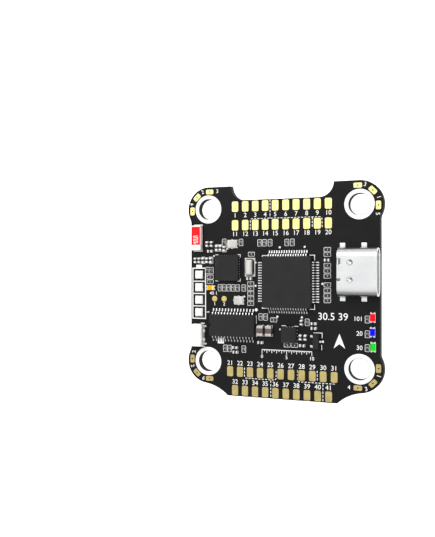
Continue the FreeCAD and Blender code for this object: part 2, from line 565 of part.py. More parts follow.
# ------------------------------------------------------------------- antenna
ay = 9.92
node(box("ant_block", "Dims.ant_wide", "Dims.ant_body", "Dims.ant_high", "-17.48", str(ay), "Dims.pcb_thick"),
     "antenna_body")
caps = [box("ant_cap_a", "Dims.ant_wide", "Dims.ant_cap_rear", "Dims.ant_high", "-17.48",
            "%s - Dims.ant_body / 2 - Dims.ant_cap_rear / 2" % ay, "Dims.pcb_thick"),
        box("ant_cap_b", "Dims.ant_wide", "Dims.ant_cap_front", "Dims.ant_high", "-17.48",
            "%s + Dims.ant_body / 2 + Dims.ant_cap_front / 2" % ay, "Dims.pcb_thick")]
node(group("ant_caps", caps), "antenna_terminals")

# --------------------------------------------------------------------- lamps
bat_y = [2.12, -0.43, -2.97, -5.47]
bx = "-17.22"
bases, lenses, bterm = [], [], []
for i, y in enumerate(bat_y):
    bases.append(box("bat_base_%d" % i, "Dims.bat_wide", "Dims.bat_long - 2 * Dims.bat_term", "Dims.bat_base", bx, str(y), "Dims.pcb_thick"))
    lenses.append(box("bat_lens_%d" % i, "Dims.bat_wide", "Dims.bat_long - 2 * Dims.bat_term", "Dims.bat_lens_high", bx, str(y),
                      "Dims.pcb_thick + Dims.bat_base"))
    for j, sg in enumerate((1, -1)):
        bterm.append(box("bat_term_%d_%d" % (i, j), "Dims.bat_wide", "Dims.bat_term", "Dims.bat_base",
                         bx, "%s + %d * (Dims.bat_long / 2 - Dims.bat_term / 2)" % (y, sg), "Dims.pcb_thick"))
node(group("bat_bases", bases), "battery_lamp_bases")
node(group("bat_lenses", lenses), "battery_lamp_lenses")
lterm = []
for i, (label, x, y, flat) in enumerate([
        ("status_lamp_red", 17.75, -5.65, False), ("status_lamp_blue", 17.7, -8.35, False),
        ("status_lamp_green", 17.8, -11.05, False), ("status_lamp_orange", -14.65, -0.5, True)]):
    if flat:
        node(box("lamp_%d" % i, "Dims.lamp_long", "Dims.lamp_wide", "Dims.lamp_high", str(x), str(y), "Dims.pcb_thick"), label)
    else:
        node(box("lamp_%d" % i, "Dims.lamp_wide", "Dims.lamp_long", "Dims.lamp_high", str(x), str(y), "Dims.pcb_thick"), label)
    for j, sg in enumerate((1, -1)):
        shift = "%d * (Dims.lamp_long / 2 + Dims.lamp_term / 2)" % sg
        if flat:
            lterm.append(box("lamp_term_%d_%d" % (i, j), "Dims.lamp_term", "Dims.lamp_wide", "Dims.lamp_term_high",
                             "%s + %s" % (x, shift), str(y), "Dims.pcb_thick"))
        else:
            lterm.append(box("lamp_term_%d_%d" % (i, j), "Dims.lamp_wide", "Dims.lamp_term", "Dims.lamp_term_high",
                             str(x), "%s + %s" % (y, shift), "Dims.pcb_thick"))
node(group("lamp_terms", bterm + lterm), "lamp_terminals")


# ------------------------------------------- two-ended chips: body plus caps
def chip_spots(places, z, under, body_len, term_len):
    """Where the bodies and the two end caps of a row of chips go. A place is
    x, y and True when the chip lies along Y."""
    mids, ends = [], []
    for x, y, upright in places:
        a = 90 if upright else 0
        ca, sa = math.cos(math.radians(a)), math.sin(math.radians(a))
        mids.append((x, y, z, a, under))
        for sg in (1, -1):
            u = sg * (body_len / 2 + term_len / 2)
            ends.append((x + u * ca, y + u * sa, z, a, under))
    return mids, ends


big = [(-3.98, -8.78, True), (-2.25, -8.78, True)]
cb = box("capl_block", "Dims.capl_body", "Dims.capl_wide", "Dims.capl_high")
ce = box("capl_cap", "Dims.capl_term", "Dims.capl_wide", "Dims.capl_high")
mids, ends = chip_spots(big, T, False, dim("capl_body"), dim("capl_term"))
node(array_of("capl_bodies", cb, mids), "large_capacitor_bodies")
node(array_of("capl_ends", ce, ends), "large_capacitor_terminals")

resistors = [(x, 8.35, True) for x in (-4.3, -3.3, -2.15, 1.25, 2.35)]
resistors += [(x, -0.5, True) for x in (-12.7, -11.75, -10.8, -9.85, -8.9, -7.6)]
resistors += [(-15.4, 2.95, True), (-14.55, 2.95, True), (-8.2, 8.5, True), (-11.8, 8.6, True),
              (-4.05, -6.1, True), (-3.05, -6.1, True), (5.3, -6.9, True),
              (16.7, -6.05, True), (16.7, -8.75, True), (16.7, -11.3, True),
              (-11.55, -12.55, True), (-10.6, -12.55, True), (-7.6, -12.55, True)]
resistors += [(9.2, y, False) for y in (6.9, 6.0, 3.9, 2.9, 1.9, 0.25, -0.8, -1.75, -2.7)]
resistors += [(-6.15, y, False) for y in (0.35, -0.6, -1.55, -2.5, -3.5)]
resistors += [(-6.0, 6.15, False), (-14.8, 1.65, False), (-14.8, 0.7, False), (-1.4, -6.6, False),
              (1.35, -11.35, False), (2.8, -11.35, False)]
capacitors = [(-15.45, 8.25, True), (-14.5, 8.25, True), (-18.05, 5.0, True), (-17.2, 5.0, True),
              (-16.35, 5.0, True), (-15.5, 5.0, True), (-14.65, 5.0, True),
              (4.2, -6.95, True), (4.0, -9.8, True), (4.95, -9.8, True),
              (-13.35, 7.45, True), (-12.55, 7.45, True), (-11.75, 7.3, True),
              (-14.8, 6.8, False), (9.15, 4.9, False), (-6.4, 1.35, False), (6.6, -7.1, False), (6.6, -8.0, False),
              (4.35, -11.35, False), (-4.1, -11.1, False), (-9.4, -12.3, False), (-9.3, -13.2, False)]
rb = box("res_block", "Dims.res_body", "Dims.chip_wide", "Dims.res_high")
re_ = box("res_cap", "Dims.res_term", "Dims.chip_wide", "Dims.res_high")
kb = box("cap_block", "Dims.cap_body", "Dims.chip_wide", "Dims.cap_high")
ke = box("cap_cap", "Dims.cap_term", "Dims.chip_wide", "Dims.cap_high")
mids, ends = chip_spots(resistors, T, False, dim("res_body"), dim("res_term"))
node(array_of("res_bodies", rb, mids), "chip_resistor_bodies")
res_ends = array_of("res_ends", re_, ends)
mids, ends = chip_spots(capacitors, T, False, dim("cap_body"), dim("cap_term"))
node(array_of("cap_bodies", kb, mids), "chip_capacitor_bodies")
cap_ends = array_of("cap_ends", ke, ends)

# --------------------------------------------------------------- boot switch
# A side push switch at the -X edge. Its wide plunger slides along X.
zb = "Dims.pcb_thick"
hb = box("sw_block", "Dims.sw_back - Dims.sw_front", "Dims.sw_wide", "Dims.sw_high",
         "(Dims.sw_back + Dims.sw_front) / 2", "Dims.sw_mid", zb)
hc = box("sw_cavity", "Dims.sw_cav_deep * 2", "Dims.sw_cav_wide", "Dims.sw_high - Dims.sw_roof - Dims.sw_floor",
         "Dims.sw_front", "Dims.sw_mid", "Dims.pcb_thick + Dims.sw_floor")
node(cut("sw_housing", hb, [hc]), "boot_switch_housing")
plunger = doc.addObject("PartDesign::Body", "sw_plunger")
ps = sketch_on(plunger, "sw_plunger_face", "YZ_Plane")
centred_rect(ps, "Dims.plunger_wide", "Dims.sw_high - Dims.sw_roof - Dims.sw_floor - 2 * Dims.plunger_gap")
pad(plunger, ps, "Dims.plunger_len", "sw_plunger_bar")
doc.recompute()
ns = sketch_on(plunger, "sw_plunger_nub", "YZ_Plane")
centred_rect(ns, "Dims.plunger_nub_wide", "Dims.leaf_wide")
pad(plunger, ns, "Dims.plunger_len + Dims.plunger_nub_len", "sw_plunger_tip")
bind(plunger, Placement__Base__x="Dims.sw_front - Dims.plunger_out", Placement__Base__y="Dims.sw_mid",
     Placement__Base__z="Dims.pcb_thick + Dims.sw_floor + (Dims.sw_high - Dims.sw_roof - Dims.sw_floor) / 2")
doc.recompute()
node(plunger, "boot_switch_plunger")
# snap spring: a bowed leaf whose ends stand on the back of the cavity
leaf = doc.addObject("PartDesign::Body", "sw_leaf")
ls = sketch_on(leaf, "sw_leaf_bow", "XY_Plane")
doc.recompute()
lc, lr, lt = dim("leaf_chord"), dim("leaf_rise"), dim("leaf_thick")
R_out = (lc * lc / 4 + lr * lr) / (2 * lr)
half_a = math.asin(lc / 2 / R_out)
c_out = Part.Circle(Vector(R_out - lr, 0, 0), Vector(0, 0, 1), R_out)
outer = Part.ArcOfCircle(c_out, math.pi - half_a, math.pi + half_a)
R_in = R_out - lt
half_b = math.acos((R_out - lr) / R_in)
inner = Part.ArcOfCircle(Part.Circle(Vector(R_out - lr, 0, 0), Vector(0, 0, 1), R_in), math.pi - half_b, math.pi + half_b)
bow = [outer, inner,
       Part.LineSegment(outer.StartPoint, inner.StartPoint), Part.LineSegment(inner.EndPoint, outer.EndPoint)]
for g in bow:
    ls.addGeometry(g, False)
for a, b in (((0, 1), (2, 1)), ((1, 1), (2, 2)), ((1, 2), (3, 1)), ((0, 2), (3, 2))):
    ls.addConstraint(Sketcher.Constraint("Coincident", a[0], a[1], b[0], b[1]))
pad(leaf, ls, "Dims.leaf_wide", "sw_leaf_strip", middle=True)
bind(leaf, Placement__Base__x="Dims.sw_front + Dims.sw_cav_deep", Placement__Base__y="Dims.sw_mid",
     Placement__Base__z="Dims.pcb_thick + Dims.sw_floor + (Dims.sw_high - Dims.sw_roof - Dims.sw_floor) / 2")
doc.recompute()
node(leaf, "boot_switch_snap_spring")
plate = box("sw_plate", "Dims.sw_plate_thick", "Dims.sw_plate_wide", "Dims.sw_plate_high",
            "Dims.sw_back + Dims.sw_plate_thick / 2", "Dims.sw_mid", zb)
tabs = [box("sw_tab_%d" % i, "Dims.sw_plate_thick", "0.7", "0.5",
            "Dims.sw_back + Dims.sw_plate_thick * 1.5", "Dims.sw_mid + %s" % y, zb) for i, y in enumerate((0.9, -0.9))]
node(fuse("sw_back_plate", [plate] + tabs), "boot_switch_back_plate")
terms = [box("sw_term_%d" % i, "Dims.sw_term_len", "Dims.sw_term_wide", "Dims.sw_term_high",
             "Dims.sw_back + Dims.sw_plate_thick + Dims.sw_term_len / 2", "Dims.sw_mid + %s" % y, zb)
         for i, y in enumerate((1.75, -1.75))]
node(group("sw_terms", terms), "boot_switch_terminals")


# ------------------------------------------------- underside: plug sockets
def plug(name, label, wide, count, front, sgn):
    """A side-entry plug socket under the board. Its mouth looks along sgn * Y."""
    block = box(name + "_block", wide, "Dims.plug_deep", "Dims.plug_high - Dims.plug_rail", "0",
                "%s - %d * Dims.plug_deep / 2" % (front, sgn), "-Dims.plug_high + Dims.plug_rail")
    # two rails and a raised panel on the face that looks down
    rails = [box("%s_rail_%d" % (name, i), "0.56", "Dims.plug_deep - 0.3", "Dims.plug_rail * 2",
                 "%d * ((%s) / 2 - 0.5)" % (s_, wide), "%s - %d * Dims.plug_deep / 2" % (front, sgn), "-Dims.plug_high")
             for i, s_ in enumerate((1, -1))]
    rails.append(box(name + "_panel", "%s - 2.6" % wide, "1.6", "Dims.plug_rail * 1.5", "0",
                     "%s - %d * 2.95" % (front, sgn), "-Dims.plug_high + Dims.plug_rail / 2"))
    block = fuse(name + "_blank", [block] + rails)
    mouth = box(name + "_mouth", "%s - 2 * Dims.plug_wall" % wide, "Dims.plug_cav_deep * 2", "Dims.plug_cav_high", "0",
                front, "-Dims.plug_high + Dims.plug_roof")
    tools = [mouth]
    for i in range(count):
        tools.append(box("%s_slit_%d" % (name, i), "Dims.pin_wide", "Dims.plug_deep * 2", "Dims.pin_thick",
                         "%s * Dims.plug_pitch" % (i - (count - 1) / 2.0),
                         "%s - %d * (Dims.plug_deep * 1.5)" % (front, sgn), "-Dims.pin_z - Dims.pin_thick / 2"))
    # locating notches in the lower wall
    for i, s_ in enumerate((1, -1)):
        tools.append(box("%s_key_%d" % (name, i), "1.1", "1.2", "Dims.plug_roof * 2",
                         "%d * ((%s) / 2 - 1.9)" % (s_, wide), front, "-Dims.plug_high - Dims.plug_roof"))
    node(cut(name + "_housing", block, tools), label + "_housing")
    pins = []
    run = dim("pin_in") + dim("plug_deep") - dim("plug_cav_deep")
    for i in range(count):
        x = "%s * Dims.plug_pitch" % (i - (count - 1) / 2.0)
        # blade through the rear wall, then a tail down to the board
        blade = box("%s_blade_%d" % (name, i), "Dims.pin_wide", "Dims.pin_in + Dims.plug_deep - Dims.plug_cav_deep + Dims.pin_thick",
                    "Dims.pin_thick", x,
                    "%s - %d * (Dims.plug_deep + Dims.pin_thick - (Dims.pin_in + Dims.plug_deep - Dims.plug_cav_deep + Dims.pin_thick) / 2)" % (front, sgn),
                    "-Dims.pin_z - Dims.pin_thick / 2")
        drop = box("%s_drop_%d" % (name, i), "Dims.pin_wide", "Dims.pin_thick", "Dims.pin_z", x,
                   "%s - %d * (Dims.plug_deep + Dims.pin_thick / 2)" % (front, sgn), "-Dims.pin_z")
        foot = box("%s_foot_%d" % (name, i), "Dims.pin_wide", "Dims.pin_out", "Dims.pin_thick * 0.8", x,
                   "%s - %d * (Dims.plug_deep + Dims.pin_out / 2)" % (front, sgn), "-Dims.pin_thick * 0.8")
        pins.append(fuse("%s_pin_%d" % (name, i), [blade, drop, foot]))
    node(group(name + "_pins", pins), label + "_pins")
    return [box("%s_anchor_%d" % (name, i), "Dims.anchor_wide", "Dims.anchor_len", "Dims.anchor_high",
                "%d * ((%s) / 2 + Dims.anchor_wide / 2)" % (s_, wide),
                "%s - %d * 1.4" % (front, sgn), "-Dims.anchor_high") for i, s_ in enumerate((1, -1))]


anchors = plug("esc", "motor_link_socket", "Dims.esc_wide", 8, "Dims.esc_front", -1)
anchors += plug("vid", "video_socket", "Dims.vid_wide", 6, "Dims.vid_front", 1)
node(group("plug_anchors", anchors), "socket_anchor_tabs")

# ------------------------------------------------- underside: card socket
cover = doc.addObject("PartDesign::Body", "card_cover")
cs = sketch_on(cover, "card_section", "YZ_Plane")
centred_rect(cs, "Dims.card_wide", "Dims.card_high", "0", "-Dims.card_high / 2")
pad(cover, cs, "Dims.card_deep", "card_block")
doc.recompute()
solid_v = cover.Shape.Volume
hs = sketch_on(cover, "card_hollow", "YZ_Plane")
centred_rect(hs, "Dims.card_wide - 2 * Dims.card_sheet", "Dims.card_high - Dims.card_sheet", "0",
             "-(Dims.card_high - Dims.card_sheet) / 2")
hollow = cover.newObject("PartDesign::Pocket", "card_empty")
hollow.Profile = hs
hollow.Type = "ThroughAll"
hollow.Reversed = True
cover.Tip = hollow
bind(cover, Placement__Base__x="Dims.card_front", Placement__Base__y="Dims.card_mid")
doc.recompute()
assert cover.Shape.Volume < 0.3 * solid_v
node(cover, "card_socket_cover")
fl = box("card_floor_plate", "Dims.card_deep", "Dims.card_wide - 2 * Dims.card_sheet", "Dims.card_floor",
         "Dims.card_front + Dims.card_deep / 2", "Dims.card_mid", "-Dims.card_floor")
rw = box("card_rear", "Dims.card_rear_wall", "Dims.card_wide - 2 * Dims.card_sheet", "Dims.card_high - Dims.card_sheet",
         "Dims.card_front + Dims.card_deep - Dims.card_rear_wall / 2", "Dims.card_mid", "-(Dims.card_high - Dims.card_sheet)")
node(fuse("card_base", [fl, rw]), "card_socket_base")
cc = box("card_contact", "Dims.card_contact_len", "Dims.card_contact_wide", "Dims.card_contact_thick")
node(array_of("card_contacts", cc, [
    (dim("card_front") + dim("card_deep") - 3.4, (i - 3.5) * dim("card_pitch"), -dim("card_floor"), 0, True)
    for i in range(8)]), "card_socket_contacts")

# ------------------------------------------------- underside: power parts
ind = moulded_chip("ind_mould", "Dims.ind_size - 2 * Dims.ind_term", "Dims.ind_size", "Dims.ind_high", "0", "Dims.ind_chamfer")
places = [(8.9, 7.6), (14.2, 7.6)]
node(array_of("ind_bodies", ind, [(x, y, 0, 0, True) for x, y in places]), "inductor_bodies")
it = box("ind_side", "Dims.ind_term", "Dims.ind_size * 0.7", "Dims.ind_high * 0.75")
u = dim("ind_size") / 2 - dim("ind_term") / 2
node(array_of("ind_terms", it, [(x + s_ * u, y, 0, 0, True) for x, y in places for s_ in (1, -1)]), "inductor_terminals")
buck = moulded_chip("buck_mould", "Dims.buck_wide", "Dims.buck_len", "Dims.buck_high", "Dims.standoff", "Dims.buck_chamfer")
bplaces = [(8.9, 3.0), (14.2, 3.0)]
node(array_of("buck_bodies", buck, [(x, y, 0, 0, True) for x, y in bplaces]), "buck_converter_bodies")
blead = gull_lead("buck_lead", "reg_lead_reach", "reg_lead_foot", "lead_thick", "buck_lead_z", "Dims.buck_lead_wide")
spots = []
for x, y in bplaces:
    for j in (-1, 0, 1):
        spots.append((x + dim("buck_wide") / 2, y + j * dim("buck_pitch"), 0, 0, True))
        spots.append((x - dim("buck_wide") / 2, y + j * dim("buck_pitch"), 0, 180, True))
node(array_of("buck_leads", blead, spots), "buck_converter_leads")
bc = box("bulk_block", "Dims.bulk_body", "Dims.bulk_wide", "Dims.bulk_high")
be = box("bulk_cap", "Dims.bulk_term", "Dims.bulk_wide", "Dims.bulk_high")
mids, ends = chip_spots([(8.9, -1.0, False), (14.2, -1.0, False), (8.9, -3.3, False), (14.2, -3.3, False)], 0, True,
                        dim("bulk_body"), dim("bulk_term"))
node(array_of("bulk_bodies", bc, mids), "bulk_capacitor_bodies")
node(array_of("bulk_ends", be, ends), "bulk_capacitor_terminals")
dio = moulded_chip("dio_mould", "Dims.dio_len", "Dims.dio_wide", "Dims.dio_high", "0", "Dims.dio_chamfer")
node(array_of("dio_body", dio, [(11.5, -7.2, 0, 0, True)]), "input_diode_body")
dt = box("dio_side", "Dims.dio_term_len", "Dims.dio_term_wide", "Dims.dio_high * 0.5")
u = dim("dio_len") / 2 + dim("dio_term_len") / 2
node(array_of("dio_terms", dt, [(11.5 + s_ * u, -7.2, 0, 0, True) for s_ in (1, -1)]), "input_diode_terminals")
# air pressure sensor: base and a metal lid with a vent
bb = box("baro_plate", "Dims.baro_wide", "Dims.baro_long", "Dims.baro_base", "2.6", "8.6", "-Dims.baro_base")
bl = box("baro_can", "Dims.baro_wide - 2 * Dims.baro_lip", "Dims.baro_long - 2 * Dims.baro_lip", "Dims.baro_lid",
         "2.6", "8.6", "-Dims.baro_base - Dims.baro_lid")
bv = cyl("baro_hole", "Dims.baro_vent", "Dims.baro_lid * 0.6", "2.2", "9.2", "-Dims.baro_base - Dims.baro_lid")
node(bb, "air_pressure_sensor_base")
node(cut("baro_top", bl, [bv]), "air_pressure_sensor_lid")
low = [(x, -11.2, True) for x in (-6.0, -4.8, -3.6, 3.6, 4.8, 6.0)]
low += [(x, 10.8, False) for x in (-6.4, -2.0)] + [(5.3, 7.6, True), (5.3, 5.6, True), (11.55, 3.0, True), (11.55, -1.0, True)]
low += [(-1.6, 8.6, True), (-0.4, 8.6, True)]
mids, ends = chip_spots(low, 0, True, dim("cap_body"), dim("cap_term"))
node(array_of("low_bodies", kb, mids), "underside_chip_bodies")
low_ends = array_of("low_ends", ke, ends)
node(group("chip_ends", [res_ends, cap_ends, low_ends]), "chip_terminals")

# ----------------------------------------------------------- check and write
doc.recompute()
for obj in doc.Objects:
    for word in obj.State:
        assert word not in ("Invalid", "Error"), (obj.Name, obj.State)
labels = [n.Label for n in nodes]
assert len(set(labels)) == len(labels) <= 60, len(labels)
for n in nodes:
    assert not n.Shape.isNull() and n.Shape.isValid(), n.Label
    assert n.Shape.Solids, n.Label
for n in nodes:
    n.Shape.exportStep("parts/%s.step" % n.Label)
print(len(nodes), "nodes,", sum(len(n.Shape.Solids) for n in nodes), "solids")
whole = Part.makeCompound([n.Shape for n in nodes]).BoundBox
print("size %.2f x %.2f x %.2f" % (whole.XLength, whole.YLength, whole.ZLength), whole)
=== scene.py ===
import bpy, bmesh, math, random
from mathutils import Vector, Matrix


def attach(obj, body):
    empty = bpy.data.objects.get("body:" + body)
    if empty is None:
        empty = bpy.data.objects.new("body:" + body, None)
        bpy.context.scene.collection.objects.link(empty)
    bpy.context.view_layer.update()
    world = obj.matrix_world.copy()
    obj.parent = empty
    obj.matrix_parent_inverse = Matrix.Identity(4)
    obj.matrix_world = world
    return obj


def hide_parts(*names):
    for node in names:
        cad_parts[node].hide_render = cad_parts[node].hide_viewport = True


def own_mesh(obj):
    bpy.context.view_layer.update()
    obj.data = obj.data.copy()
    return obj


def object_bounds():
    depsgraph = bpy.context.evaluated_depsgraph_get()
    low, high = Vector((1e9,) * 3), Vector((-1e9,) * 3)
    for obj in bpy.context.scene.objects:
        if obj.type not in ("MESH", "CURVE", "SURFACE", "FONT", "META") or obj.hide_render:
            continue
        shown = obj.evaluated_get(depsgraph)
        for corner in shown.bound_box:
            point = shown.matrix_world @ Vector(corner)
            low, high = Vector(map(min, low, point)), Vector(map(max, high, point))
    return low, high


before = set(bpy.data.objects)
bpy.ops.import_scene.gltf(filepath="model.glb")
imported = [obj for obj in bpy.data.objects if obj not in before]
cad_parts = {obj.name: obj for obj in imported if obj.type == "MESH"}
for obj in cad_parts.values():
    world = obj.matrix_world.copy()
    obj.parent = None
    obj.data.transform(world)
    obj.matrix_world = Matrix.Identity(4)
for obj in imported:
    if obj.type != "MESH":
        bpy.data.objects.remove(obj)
CAD_BOX = [list(v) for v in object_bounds()]

MM = 0.001
T = 1.6                    # thickness of the bare board, mm
FLOOR = CAD_BOX[0][2]      # the lowest point of the part, m
COL = bpy.context.scene.collection

# =====================================================================
# materials: every one is procedural, in object coordinates (metres)
# =====================================================================
MATS = {}


def srgb(r, g, b):
    def f(c):
        c = c / 255.0
        return c / 12.92 if c <= 0.04045 else ((c + 0.055) / 1.055) ** 2.4
    return (f(r), f(g), f(b), 1.0)


class Tree:
    """A small helper round one material's node tree."""

    def __init__(self, name):
        m = bpy.data.materials.new(name)
        m.use_nodes = True
        self.m = m
        self.t = m.node_tree
        self.t.nodes.clear()
        self.out = self.t.nodes.new("ShaderNodeOutputMaterial")
        self.p = self.t.nodes.new("ShaderNodeBsdfPrincipled")
        self.t.links.new(self.p.outputs[0], self.out.inputs[0])
        self.tc = self.t.nodes.new("ShaderNodeTexCoord")
        MATS[name] = m

    def node(self, kind, **props):
        n = self.t.nodes.new(kind)
        for k, v in props.items():
            setattr(n, k, v)
        return n

    def link(self, a, b):
        self.t.links.new(a, b)

    def noise(self, scale, detail=3.0, rough=0.55, stretch=None, seed=0.0):
        n = self.node("ShaderNodeTexNoise")
        n.inputs["Scale"].default_value = scale
        n.inputs["Detail"].default_value = detail
        n.inputs["Roughness"].default_value = rough
        mp = self.node("ShaderNodeMapping")
        if stretch:
            mp.inputs["Scale"].default_value = stretch
        mp.inputs["Location"].default_value = (seed, seed * 0.7, seed * 0.3)
        self.link(self.tc.outputs["Object"], mp.inputs["Vector"])
        self.link(mp.outputs[0], n.inputs["Vector"])
        return n.outputs["Fac"]

    def voronoi(self, scale, feature="F1", stretch=None):
        n = self.node("ShaderNodeTexVoronoi", feature=feature)
        n.inputs["Scale"].default_value = scale
        mp = self.node("ShaderNodeMapping")
        if stretch:
            mp.inputs["Scale"].default_value = stretch
        self.link(self.tc.outputs["Object"], mp.inputs["Vector"])
        self.link(mp.outputs[0], n.inputs["Vector"])
        return n.outputs["Distance"]

    def ramp(self, fac, stops):
        n = self.node("ShaderNodeValToRGB")
        cr = n.color_ramp
        while len(cr.elements) > 2:
            cr.elements.remove(cr.elements[-1])
        cr.elements[0].position, cr.elements[0].color = stops[0][0], stops[0][1]
        cr.elements[1].position, cr.elements[1].color = stops[-1][0], stops[-1][1]
        for pos, c in stops[1:-1]:
            e = cr.elements.new(pos)
            e.color = c
        self.link(fac, n.inputs["Fac"])
        return n.outputs["Color"]

    def mapr(self, fac, a, b, c, d):
        n = self.node("ShaderNodeMapRange")
        for i, v in zip(range(1, 5), (a, b, c, d)):
            n.inputs[i].default_value = v
        self.link(fac, n.inputs[0])
        return n.outputs[0]

    def mix(self, fac, a, b, mode="MIX"):
        n = self.node("ShaderNodeMix", data_type="RGBA", blend_type=mode)
        for sock, v in ((n.inputs[0], fac), (n.inputs[6], a), (n.inputs[7], b)):
            if isinstance(v, (int, float, tuple)):
                sock.default_value = v
            else:
                self.link(v, sock)
        return n.outputs[2]

    def math(self, op, a, b=0.0):
        n = self.node("ShaderNodeMath", operation=op)
        for sock, v in ((n.inputs[0], a), (n.inputs[1], b)):
            if isinstance(v, (int, float)):
                sock.default_value = v
            else:
                self.link(v, sock)
        return n.outputs[0]

    def bump(self, height, dist, strength=1.0, after=None):
        n = self.node("ShaderNodeBump")
        n.inputs["Distance"].default_value = dist
        n.inputs["Strength"].default_value = strength
        self.link(height, n.inputs["Height"])
        if after is not None:
            self.link(after, n.inputs["Normal"])
        return n.outputs[0]

    def set(self, **kw):
        for k, v in kw.items():
            sock = self.p.inputs[k.replace("_", " ")]
            if isinstance(v, (int, float, tuple)):
                sock.default_value = v
            else:
                self.link(v, sock)
        return self


def shade(c, k):
    return (min(c[0] * k, 1), min(c[1] * k, 1), min(c[2] * k, 1), 1.0)


def speckled(name, colour, rough=(0.35, 0.5), grain=2600, spread=0.10, bump=0.000002, metal=0.0, big=350,
             spec=0.5, coat=0.0, coat_rough=0.1, stretch=None, sub=0.0, emit=0.0):
    """Colour that varies by a fine grain and a broad one, with matching roughness and relief."""
    t = Tree(name)
    fine = t.noise(grain, 4.0, 0.6, stretch)
    broad = t.noise(big, 2.0, 0.5, None, 3.1)
    both = t.math("ADD", t.math("MULTIPLY", fine, 0.5), t.math("MULTIPLY", broad, 0.5))
    col = t.ramp(both, [(0.3, shade(colour, 1 - spread)), (0.5, colour), (0.7, shade(colour, 1 + spread))])
    t.set(Base_Color=col, Roughness=t.mapr(both, 0.3, 0.7, rough[0], rough[1]), Metallic=metal)
    t.p.inputs["Specular IOR Level"].default_value = spec
    if coat:
        t.p.inputs["Coat Weight"].default_value = coat
        t.p.inputs["Coat Roughness"].default_value = coat_rough
    if sub:
        t.p.inputs["Subsurface Weight"].default_value = sub
        t.p.inputs["Subsurface Radius"].default_value = (0.0006, 0.0005, 0.0004)
        t.p.inputs["Subsurface Scale"].default_value = 1.0
    if emit:
        t.p.inputs["Emission Color"].default_value = colour
        t.p.inputs["Emission Strength"].default_value = emit
    if bump:
        t.link(t.bump(fine, bump), t.p.inputs["Normal"])
    return t


